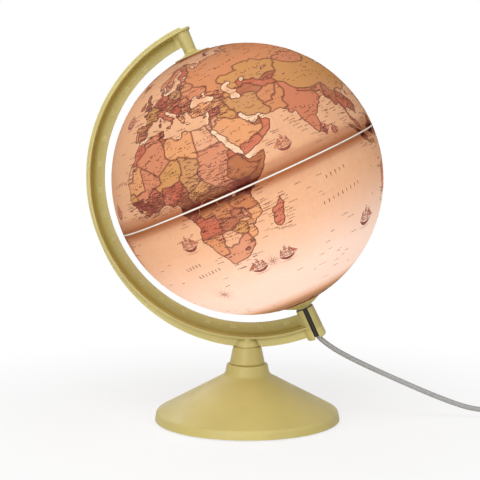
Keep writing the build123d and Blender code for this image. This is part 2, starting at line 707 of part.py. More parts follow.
with BuildPart() as south_cap:
    with BuildSketch(meridian):
        with BuildLine():
            Polyline(
                (south_spigot_radius, -height_on(cap_seat_radius, south_spigot_radius)),
                (south_spigot_radius, -spigot_end),
                (TUBE_RADIUS + RUNNING_FIT, -spigot_end),
                (TUBE_RADIUS + RUNNING_FIT, -cap_end),
                (SOUTH_COLLAR_RADIUS, -cap_end),
                (SOUTH_COLLAR_RADIUS, south_flare_top),
            )
            ThreePointArc(
                (SOUTH_COLLAR_RADIUS, south_flare_top),
                south_flare_mid,
                (SOUTH_CAP_RADIUS, south_rim - CAP_RIM_THICKNESS),
            )
            Line((SOUTH_CAP_RADIUS, south_rim - CAP_RIM_THICKNESS), (SOUTH_CAP_RADIUS, south_rim))
            ThreePointArc(
                (SOUTH_CAP_RADIUS, south_rim),
                (south_seat_mid, -height_on(cap_seat_radius, south_seat_mid)),
                (south_spigot_radius, -height_on(cap_seat_radius, south_spigot_radius)),
            )
        make_face()
    revolve(axis=polar_axis)
south_cap.part.label = "south_cap"
export_step(south_cap.part, "parts/south_cap.step")

# North pivot pin: fixed in the post, runs in the north cap
with BuildPart() as pivot_pin:
    with BuildSketch(axial(globe_radius - PIN_IN_GLOBE)):
        Circle(PIN_RADIUS)
    extrude(amount=post_end + PIN_IN_POST - END_PLAY - (globe_radius - PIN_IN_GLOBE))
pivot_pin.part.label = "pivot_pin"
export_step(pivot_pin.part, "parts/pivot_pin.step")

# Lamp: tube through the south pole, holder with its shell and contact, bulb
with BuildPart() as lamp_tube:
    with BuildSketch(axial(tube_end)):
        Circle(TUBE_RADIUS)
    extrude(amount=tube_top - tube_end)
    with BuildSketch(axial(tube_flange_top)):
        Circle(TUBE_FLANGE_RADIUS)
    extrude(amount=-TUBE_FLANGE_THICKNESS)
    with BuildSketch(axial(tube_end)):
        Circle(TUBE_BORE_RADIUS)
    extrude(amount=tube_top - tube_end, mode=Mode.SUBTRACT)
lamp_tube.part.label = "lamp_tube"
export_step(lamp_tube.part, "parts/lamp_tube.step")

holder_bore_radius = HOLDER_RADIUS - HOLDER_WALL
holder_grip_radius = TUBE_RADIUS + SEAT_FIT

with BuildPart() as lamp_holder:
    with BuildSketch(meridian):
        Polygon(
            (holder_grip_radius, holder_start),
            (HOLDER_NECK_RADIUS, holder_start),
            (HOLDER_NECK_RADIUS, tube_top),
            (HOLDER_RADIUS, tube_top + HOLDER_WALL),
            (HOLDER_RADIUS, holder_end),
            (holder_bore_radius, holder_end),
            (holder_bore_radius, holder_floor),
            (WIRE_HOLE_RADIUS, holder_floor),
            (WIRE_HOLE_RADIUS, tube_top + SEAT_FIT),
            (holder_grip_radius, tube_top + SEAT_FIT),
            align=None,
        )
    revolve(axis=polar_axis)
lamp_holder.part.label = "lamp_holder"
export_step(lamp_holder.part, "parts/lamp_holder.step")

with BuildPart() as socket_shell:
    with BuildSketch(axial(holder_floor)):
        Circle(SHELL_THREAD_RADIUS + SHELL_THREAD_WALL + SHELL_FOOT_WIDTH)
    extrude(amount=SHELL_THREAD_WALL)
    with BuildSketch(axial(holder_floor)):
        Circle(SHELL_THREAD_RADIUS + SHELL_THREAD_WALL)
    extrude(amount=SHELL_THREAD_LENGTH)
    with BuildSketch(axial(holder_floor)):
        Circle(SHELL_THREAD_RADIUS)
    extrude(amount=SHELL_THREAD_LENGTH, mode=Mode.SUBTRACT)
socket_shell.part.label = "socket_shell"
export_step(socket_shell.part, "parts/socket_shell.step")

with BuildPart() as socket_contact:
    with BuildSketch(axial(holder_floor)):
        Circle(CONTACT_RADIUS)
    extrude(amount=CONTACT_THICKNESS)
    with BuildSketch(axial(holder_floor)):
        Circle(CONTACT_DOME_RADIUS)
    extrude(amount=CONTACT_HEIGHT)
socket_contact.part.label = "socket_contact"
export_step(socket_contact.part, "parts/socket_contact.step")

bulb_cap_radius = SHELL_THREAD_RADIUS - RUNNING_FIT
bulb_cup_radius = bulb_cap_radius - BULB_CUP_WALL
bulb_neck_radius = bulb_cup_radius - SEAT_FIT
bulb_foot = bulb_cap_end - BULB_CUP_DEPTH + SEAT_FIT
bulb_end = bulb_cap_end + BULB_LENGTH
bulb_centre = bulb_end - BULB_RADIUS
bulb_neck_end = bulb_foot + BULB_NECK_LENGTH

with BuildPart() as bulb_cap:
    with BuildSketch(meridian):
        Polygon(
            (0, bulb_tip),
            (BULB_TIP_RADIUS, bulb_tip),
            (bulb_cap_radius, bulb_tip + BULB_CONE_HEIGHT),
            (bulb_cap_radius, bulb_cap_end),
            (bulb_cup_radius, bulb_cap_end),
            (bulb_cup_radius, bulb_cap_end - BULB_CUP_DEPTH),
            (0, bulb_cap_end - BULB_CUP_DEPTH),
            align=None,
        )
    revolve(axis=polar_axis)
bulb_cap.part.label = "bulb_cap"
export_step(bulb_cap.part, "parts/bulb_cap.step")

with BuildPart() as bulb_glass:
    with BuildSketch(meridian):
        with BuildLine():
            outer_ball = CenterArc((0, bulb_centre), BULB_RADIUS, -45, 135)
            inner_ball = CenterArc((0, bulb_centre), BULB_RADIUS - BULB_WALL, -45, 135)
            Line((bulb_neck_radius, bulb_neck_end), outer_ball @ 0)
            Line((bulb_neck_radius, bulb_foot), (bulb_neck_radius, bulb_neck_end))
            Line((bulb_neck_radius - BULB_WALL, bulb_foot), (bulb_neck_radius, bulb_foot))
            Line((bulb_neck_radius - BULB_WALL, bulb_foot), (bulb_neck_radius - BULB_WALL, bulb_neck_end))
            Line((bulb_neck_radius - BULB_WALL, bulb_neck_end), inner_ball @ 0)
            Line(inner_ball @ 1, outer_ball @ 1)
        make_face()
    revolve(axis=polar_axis)
bulb_glass.part.label = "bulb_glass"
export_step(bulb_glass.part, "parts/bulb_glass.step")

# Cord inside the lamp tube, and the grommet that holds it
with BuildPart() as inner_cord:
    with BuildSketch(axial(cord_start)):
        Circle(CORD_RADIUS)
    extrude(amount=holder_floor - cord_start)
inner_cord.part.label = "inner_cord"
export_step(inner_cord.part, "parts/inner_cord.step")

with BuildPart() as cord_grommet:
    with BuildSketch(axial(cord_start)):
        Circle(TUBE_BORE_RADIUS - SEAT_FIT)
        Circle(CORD_RADIUS + SEAT_FIT, mode=Mode.SUBTRACT)
    extrude(amount=-GROMMET_LENGTH)
cord_grommet.part.label = "cord_grommet"
export_step(cord_grommet.part, "parts/cord_grommet.step")

# Free cord: from inside the boss down to the switch, in straight runs joined by arcs
switch_x, switch_y = SWITCH_START
switch_z = SWITCH_HEIGHT / 2
route_start = globe_centre + north * cord_start
route_bend = globe_centre + north * (boss_end + CORD_BEND_INSET)
route = [route_start, route_bend]
route += [Vector(*point) for point in CORD_POINTS]
route += [Vector(switch_x - SWITCH_RUN, switch_y, switch_z), Vector(switch_x, switch_y, switch_z)]
runs = [b - a for a, b in zip(route, route[1:])]
half_turns = [radians(a.get_angle(b)) / 2 for a, b in zip(runs, runs[1:])]
cord_bends = [
    ARC_SHARE * min(a.length, b.length) / tan(turn) for a, b, turn in zip(runs, runs[1:], half_turns)
]
print("free cord bend radii", [round(bend, 1) for bend in cord_bends])

with BuildPart() as cord_free:
    with BuildLine() as cord_path:
        FilletPolyline(*route, radius=cord_bends)
    with BuildSketch(axial(cord_start)):
        Circle(CORD_RADIUS)
    sweep()
cord_free.part.label = "cord_free"
export_step(cord_free.part, "parts/cord_free.step")
free_length = cord_path.wire().length
print("free cord length", round(free_length, 1))
print("free cord volume over section times length",
      round(cord_free.part.volume / (pi * CORD_RADIUS**2 * free_length), 5))

# Inline switch: two shells and a rocker on stub axles, tipped to one side
switch_middle = (switch_x + SWITCH_LENGTH / 2, switch_y)
rocker_z = SWITCH_HEIGHT - ROCKER_PIVOT_DROP
rocker_turn = radians(ROCKER_TILT)
rocker_plane = Plane((*switch_middle, rocker_z), (cos(rocker_turn), 0, sin(rocker_turn)), (0, -1, 0))
axle_plane = Plane((*switch_middle, rocker_z), (1, 0, 0), (0, -1, 0))
rocker_low = height_on(ROCKER_RADIUS, ROCKER_BELOW)
rocker_high = height_on(ROCKER_RADIUS, ROCKER_RISE)

with BuildPart() as switch_lower:
    with BuildSketch():
        with Locations(switch_middle):
            RectangleRounded(SWITCH_LENGTH, SWITCH_WIDTH, SWITCH_CORNER_ROUND)
    extrude(amount=switch_z - SWITCH_PART_GAP)
    fillet(switch_lower.edges().group_by(Axis.Z)[0], SWITCH_EDGE_ROUND)
switch_lower.part.label = "switch_lower"
export_step(switch_lower.part, "parts/switch_lower.step")

with BuildPart() as switch_upper:
    with BuildSketch(Plane.XY.offset(switch_z)):
        with Locations(switch_middle):
            RectangleRounded(SWITCH_LENGTH, SWITCH_WIDTH, SWITCH_CORNER_ROUND)
    extrude(amount=SWITCH_HEIGHT - switch_z)
    fillet(switch_upper.edges().group_by(Axis.Z)[-1], SWITCH_EDGE_ROUND)
    with BuildSketch(Plane.XY.offset(switch_z)):
        with Locations(switch_middle):
            Rectangle(2 * (ROCKER_RADIUS + ROCKER_GAP), ROCKER_WIDTH + 2 * ROCKER_GAP)
    extrude(amount=SWITCH_HEIGHT - switch_z, mode=Mode.SUBTRACT)
    with BuildSketch(axle_plane):
        Circle(ROCKER_AXLE_RADIUS + RUNNING_FIT)
    extrude(amount=ROCKER_WIDTH / 2 + ROCKER_AXLE_LENGTH + ROCKER_GAP, both=True, mode=Mode.SUBTRACT)
switch_upper.part.label = "switch_upper"
export_step(switch_upper.part, "parts/switch_upper.step")

with BuildPart() as switch_rocker:
    with BuildSketch(rocker_plane):
        with BuildLine():
            Polyline(
                (rocker_high, ROCKER_RISE),
                (0, ROCKER_RISE - ROCKER_DIP),
                (-rocker_high, ROCKER_RISE),
            )
            ThreePointArc(
                (-rocker_high, ROCKER_RISE),
                (-ROCKER_RADIUS, 0),
                (-rocker_low, -ROCKER_BELOW),
            )
            Line((-rocker_low, -ROCKER_BELOW), (rocker_low, -ROCKER_BELOW))
            ThreePointArc(
                (rocker_low, -ROCKER_BELOW),
                (ROCKER_RADIUS, 0),
                (rocker_high, ROCKER_RISE),
            )
        make_face()
    extrude(amount=ROCKER_WIDTH / 2, both=True)
    with BuildSketch(axle_plane):
        Circle(ROCKER_AXLE_RADIUS)
    extrude(amount=ROCKER_WIDTH / 2 + ROCKER_AXLE_LENGTH, both=True)
switch_rocker.part.label = "switch_rocker"
export_step(switch_rocker.part, "parts/switch_rocker.step")

# Cord coil: spirals in on the lower layer, climbs in the half turn where it turns back, spirals out
coil_outer_radius = COIL_INNER_RADIUS + COIL_PITCH * COIL_TURNS
coil_low_z = TIE_THICKNESS + TIE_GAP + CORD_RADIUS
switch_end = Vector(switch_x + SWITCH_LENGTH, switch_y, switch_z)
coil_centre = Vector(switch_end.X + COIL_ENTRY_RUN, switch_y + coil_outer_radius, 0)
plug_z = PLUG_HEIGHT / 2
coil_end_turn = 4 * COIL_TURNS + 0.5
coil_end_radius = coil_outer_radius - COIL_PITCH / 4
plug_rear = Vector(coil_centre.X + coil_end_radius, coil_centre.Y + COIL_TAIL_RUN, plug_z)
switch_lead = Vector(2 * CORD_RADIUS, 0, 0)
plug_lead = Vector(0, -2 * CORD_RADIUS, 0)


def coil_knot(half_turn):
    """Point and heading of the coil after a number of half turns."""
    turn = pi * half_turn - pi / 2
    inward = half_turn <= 2 * COIL_TURNS
    steps = half_turn if inward else 4 * COIL_TURNS + 1 - half_turn
    radius = coil_outer_radius - COIL_PITCH * steps / 2
    slope_out = 0 if steps in (0, 2 * COIL_TURNS) else COIL_PITCH / 2 / pi * (-1 if inward else 1)
    z = coil_low_z if inward else coil_low_z + COIL_LAYER_STEP
    point = coil_centre + Vector(radius * cos(turn), radius * sin(turn), z)
    heading = Vector(-radius * sin(turn), radius * cos(turn), 0)
    heading += Vector(cos(turn), sin(turn), 0) * slope_out
    return point, heading.normalized()


def biarc(start, heading, end, end_heading):
    """Joint of the two arcs between two headings, and the heading there."""
    way = end - start
    both = heading + end_heading
    bend = 2 * (1 - heading.dot(end_heading))
    reach = way.dot(both)
    if bend < 1e-9:
        arm = way.dot(way) / (2 * reach)
    else:
        arm = (sqrt(reach**2 + bend * way.dot(way)) - reach) / bend
    near = start + heading * arm
    far = end - end_heading * arm
    return (near + far) * 0.5, (far - near).normalized()


knots = [(switch_end + switch_lead, Vector(1, 0, 0))]
knots += [coil_knot(i) for i in range(4 * COIL_TURNS + 1)]
knots += [coil_knot(coil_end_turn), (plug_rear + plug_lead, Vector(0, 1, 0))]

with BuildPart() as cord_coil:
    with BuildLine() as coil_path:
        Line(switch_end, switch_end + switch_lead)
        for (start, heading), (end, end_heading) in zip(knots, knots[1:]):
            joint, joint_heading = biarc(start, heading, end, end_heading)
            TangentArc(start, joint, tangent=heading)
            TangentArc(joint, end, tangent=joint_heading)
        Line(plug_rear + plug_lead, plug_rear)
    with BuildSketch(Plane(origin=switch_end, z_dir=(1, 0, 0))):
        Circle(CORD_RADIUS)
    sweep()
cord_coil.part.label = "cord_coil"
export_step(cord_coil.part, "parts/cord_coil.step")
coil_wire = coil_path.wire()
coil_length = coil_wire.length
print("coil length", round(coil_length, 1), "whole cord", round(free_length + SWITCH_LENGTH + coil_length))
print("coil volume over section times length",
      round(cord_coil.part.volume / (pi * CORD_RADIUS**2 * coil_length), 5))
sample_count = int(coil_length / CORD_RADIUS)
samples = [coil_wire @ (i / sample_count) for i in range(sample_count + 1)]
apart = 8
least = min(
    (samples[i] - samples[j]).length for i in range(len(samples)) for j in range(i + apart, len(samples))
)
print("coil least gap to itself", round(least - 2 * CORD_RADIUS, 2))

# Tie: a flat band round both layers, on the side of the coil next to the switch
tie_reach = TIE_WIDTH / 2 + CORD_RADIUS
under_tie = [p for p in samples if p.X < coil_centre.X and abs(p.Y - coil_centre.Y) < tie_reach]
tie_inner = coil_centre.X - max(p.X for p in under_tie) - CORD_RADIUS - TIE_GAP
tie_outer = coil_centre.X - min(p.X for p in under_tie) + CORD_RADIUS + TIE_GAP
tie_plane = Plane(origin=(coil_centre.X, coil_centre.Y, 0), x_dir=(-1, 0, 0), z_dir=(0, 1, 0))
tie_hole_width = tie_outer - tie_inner
tie_hole_height = COIL_LAYER_STEP + 2 * CORD_RADIUS + 2 * TIE_GAP
tie_middle = ((tie_outer + tie_inner) / 2, TIE_THICKNESS + tie_hole_height / 2)

with BuildPart() as coil_tie:
    with BuildSketch(tie_plane):
        with Locations(tie_middle):
            RectangleRounded(tie_hole_width + 2 * TIE_THICKNESS, tie_hole_height + 2 * TIE_THICKNESS,
                             CORD_RADIUS + TIE_THICKNESS)
            RectangleRounded(tie_hole_width, tie_hole_height, CORD_RADIUS, mode=Mode.SUBTRACT)
    extrude(amount=TIE_WIDTH / 2, both=True)
coil_tie.part.label = "coil_tie"
export_step(coil_tie.part, "parts/coil_tie.step")

# Plug: flat body, narrow at the cord, and two round pins
with BuildPart() as plug_body:
    with BuildSketch():
        with Locations((plug_rear.X, plug_rear.Y)):
            Polygon(
                (PLUG_REAR_WIDTH / 2, 0),
                (PLUG_WAIST_WIDTH / 2, PLUG_WAIST),
                (PLUG_FRONT_WIDTH / 2, PLUG_LENGTH),
                (-PLUG_FRONT_WIDTH / 2, PLUG_LENGTH),
                (-PLUG_WAIST_WIDTH / 2, PLUG_WAIST),
                (-PLUG_REAR_WIDTH / 2, 0),
                align=None,
            )
    extrude(amount=PLUG_HEIGHT)
    fillet(plug_body.edges().filter_by(Axis.Z).group_by(Axis.Y)[-1], PLUG_EDGE_ROUND)
    fillet(plug_body.edges().group_by(Axis.Z)[-1], PLUG_EDGE_ROUND / 2)
    fillet(plug_body.edges().group_by(Axis.Z)[0], PLUG_EDGE_ROUND / 2)
plug_body.part.label = "plug_body"
export_step(plug_body.part, "parts/plug_body.step")

plug_face = Plane((plug_rear.X, plug_rear.Y + PLUG_LENGTH, plug_z), (1, 0, 0), (0, 1, 0))

with BuildPart() as plug_pins:
    with BuildSketch(plug_face):
        with GridLocations(PLUG_PIN_SPACING, 0, 2, 1):
            Circle(PLUG_PIN_RADIUS)
    extrude(amount=PLUG_PIN_LENGTH)
    fillet(plug_pins.edges().group_by(Axis.Y)[-1], PLUG_PIN_RADIUS / 2)
plug_pins.part.label = "plug_pins"
export_step(plug_pins.part, "parts/plug_pins.step")

print("globe centre", globe_centre, "plug face", plug_face.origin)
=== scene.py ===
"""Looks of a lit desktop globe: printed antique map, degree marks, moulded plastic, lamp and lead."""

import json
import math

import bmesh
import bpy
import numpy as np
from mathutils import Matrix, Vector
from mathutils.kdtree import KDTree


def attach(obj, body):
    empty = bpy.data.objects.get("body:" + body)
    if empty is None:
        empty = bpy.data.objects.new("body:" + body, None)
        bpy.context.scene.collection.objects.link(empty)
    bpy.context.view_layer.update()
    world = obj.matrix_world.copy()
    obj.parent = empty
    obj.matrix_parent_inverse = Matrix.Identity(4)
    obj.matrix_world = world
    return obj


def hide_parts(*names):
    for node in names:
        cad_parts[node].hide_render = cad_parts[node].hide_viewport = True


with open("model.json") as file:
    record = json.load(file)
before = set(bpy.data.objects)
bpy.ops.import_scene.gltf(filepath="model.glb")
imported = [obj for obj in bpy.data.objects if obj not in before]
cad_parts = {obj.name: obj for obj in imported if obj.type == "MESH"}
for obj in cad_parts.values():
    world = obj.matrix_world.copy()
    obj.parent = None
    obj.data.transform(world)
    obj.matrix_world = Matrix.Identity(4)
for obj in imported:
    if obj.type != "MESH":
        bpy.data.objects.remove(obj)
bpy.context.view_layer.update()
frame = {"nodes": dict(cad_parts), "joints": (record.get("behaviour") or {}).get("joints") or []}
scene = bpy.context.scene
MM = 0.001

# Globe, as the CAD frame has it
spin = next(joint for joint in frame["joints"] if joint["name"] == "globe_spin")
BALL_CENTRE = np.array(spin["pos_m"], float)
BALL_RADIUS = 130 * MM
BALL_INNER_RADIUS = 128.6 * MM
NORTH_HOLE_RADIUS = 8.0 * MM
SOUTH_HOLE_RADIUS = 16.3 * MM
TILT = math.radians(24)
NORTH = np.array([-math.sin(TILT), 0.0, math.cos(TILT)])
EAST = np.array([math.cos(TILT), 0.0, math.sin(TILT)])
FRONT = np.array([0.0, -1.0, 0.0])
FACING_MERIDIAN = 39.0

# Camera
LENS, SENSOR_WIDTH = 95.25, 36.0
CAMERA_PLACE = (0.0, -1.221, 0.2902)
CAMERA_PITCH, CAMERA_YAW = math.radians(84.64), math.radians(0.33)


def link(name, data):
    """New object in the scene."""
    made = bpy.data.objects.new(name, data)
    scene.collection.objects.link(made)
    return made


eye = bpy.data.cameras.new("camera")
eye.lens = LENS
eye.sensor_width = SENSOR_WIDTH
camera = link("camera", eye)
camera.location = CAMERA_PLACE
camera.rotation_euler = (CAMERA_PITCH, 0.0, CAMERA_YAW)
scene.camera = camera

# Lead: out of the boss, down to the inline switch, through it into the tied coil and to the plug
CORD_DIAMETER = 5 * MM
# Its route in millimetres
FREE_ROUTE = [
    (63.288, 0, 91.953), (67.681, 0, 82.087), (80.2, 0, 72.2), (93.0, 0.2, 64.2), (116.0, 0.8, 52.6),
    (152.0, 2.4, 36.0), (192.0, 3.8, 18.6), (222.0, 4.0, 8.5), (244.0, 4.0, 8.5), (304.0, 4.0, 8.5),
    (312.0, 4.0, 8.5), (321.0, 4.0, 7.9), (333.0, 4.0, 4.3), (342.0, 4.0, 3.7),
]
COIL_CENTRE = (352.0, 44.0)
COIL_OUTER_RADIUS = 40.0
COIL_PITCH = 6.7
COIL_LOW_Z = 3.7
COIL_HIGH_Z = 10.0
COIL_INWARD_HALF_TURNS = 6
COIL_END_HALF_TURNS = 12.5
COIL_STEPS_PER_HALF_TURN = 6
TAIL_ROUTE = [(390.325, 55, 9.5), (390.325, 66, 7.3), (390.325, 74, 6.8), (390.325, 80, 6.8)]


def coil_route():
    """Points of the coil: in on the lower layer, up half a turn, and out on the upper layer."""
    step_angle = math.pi / COIL_STEPS_PER_HALF_TURN
    # The points stand a little wide, because the line runs inside them
    swell = 1 / (0.75 + 0.25 * math.cos(step_angle))
    points = []
    for step in range(int(COIL_END_HALF_TURNS * COIL_STEPS_PER_HALF_TURN) + 1):
        half_turns = step / COIL_STEPS_PER_HALF_TURN
        climb = min(max(half_turns - COIL_INWARD_HALF_TURNS, 0), 1)
        wound = half_turns if climb == 0 else 2 * COIL_INWARD_HALF_TURNS + 1 - half_turns
        radius = swell * (COIL_OUTER_RADIUS - COIL_PITCH / 2 * min(wound, COIL_INWARD_HALF_TURNS))
        height = COIL_LOW_Z + (COIL_HIGH_Z - COIL_LOW_Z) * climb * climb * (3 - 2 * climb)
        angle = math.pi * half_turns - math.pi / 2
        x = COIL_CENTRE[0] + radius * math.cos(angle)
        y = COIL_CENTRE[1] + radius * math.sin(angle)
        points.append((x, y, height))
    return points


cord_curve = bpy.data.curves.new("lead", "CURVE")
cord_curve.dimensions = "3D"
cord_curve.bevel_depth = 1.0
cord_curve.bevel_resolution = 5
cord_curve.use_fill_caps = True
cord_curve.resolution_u = 10
cord_route = FREE_ROUTE + coil_route() + TAIL_ROUTE
cord_line = cord_curve.splines.new("NURBS")
cord_line.points.add(len(cord_route) - 1)
for knot, place in zip(cord_line.points, cord_route):
    knot.co = (*(MM * value for value in place), 1)
    knot.radius = CORD_DIAMETER / 2
cord_line.order_u = 3
cord_line.use_endpoint_u = True
lead = link("lead", cord_curve)
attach(lead, "stand")
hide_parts("cord_free", "cord_coil")

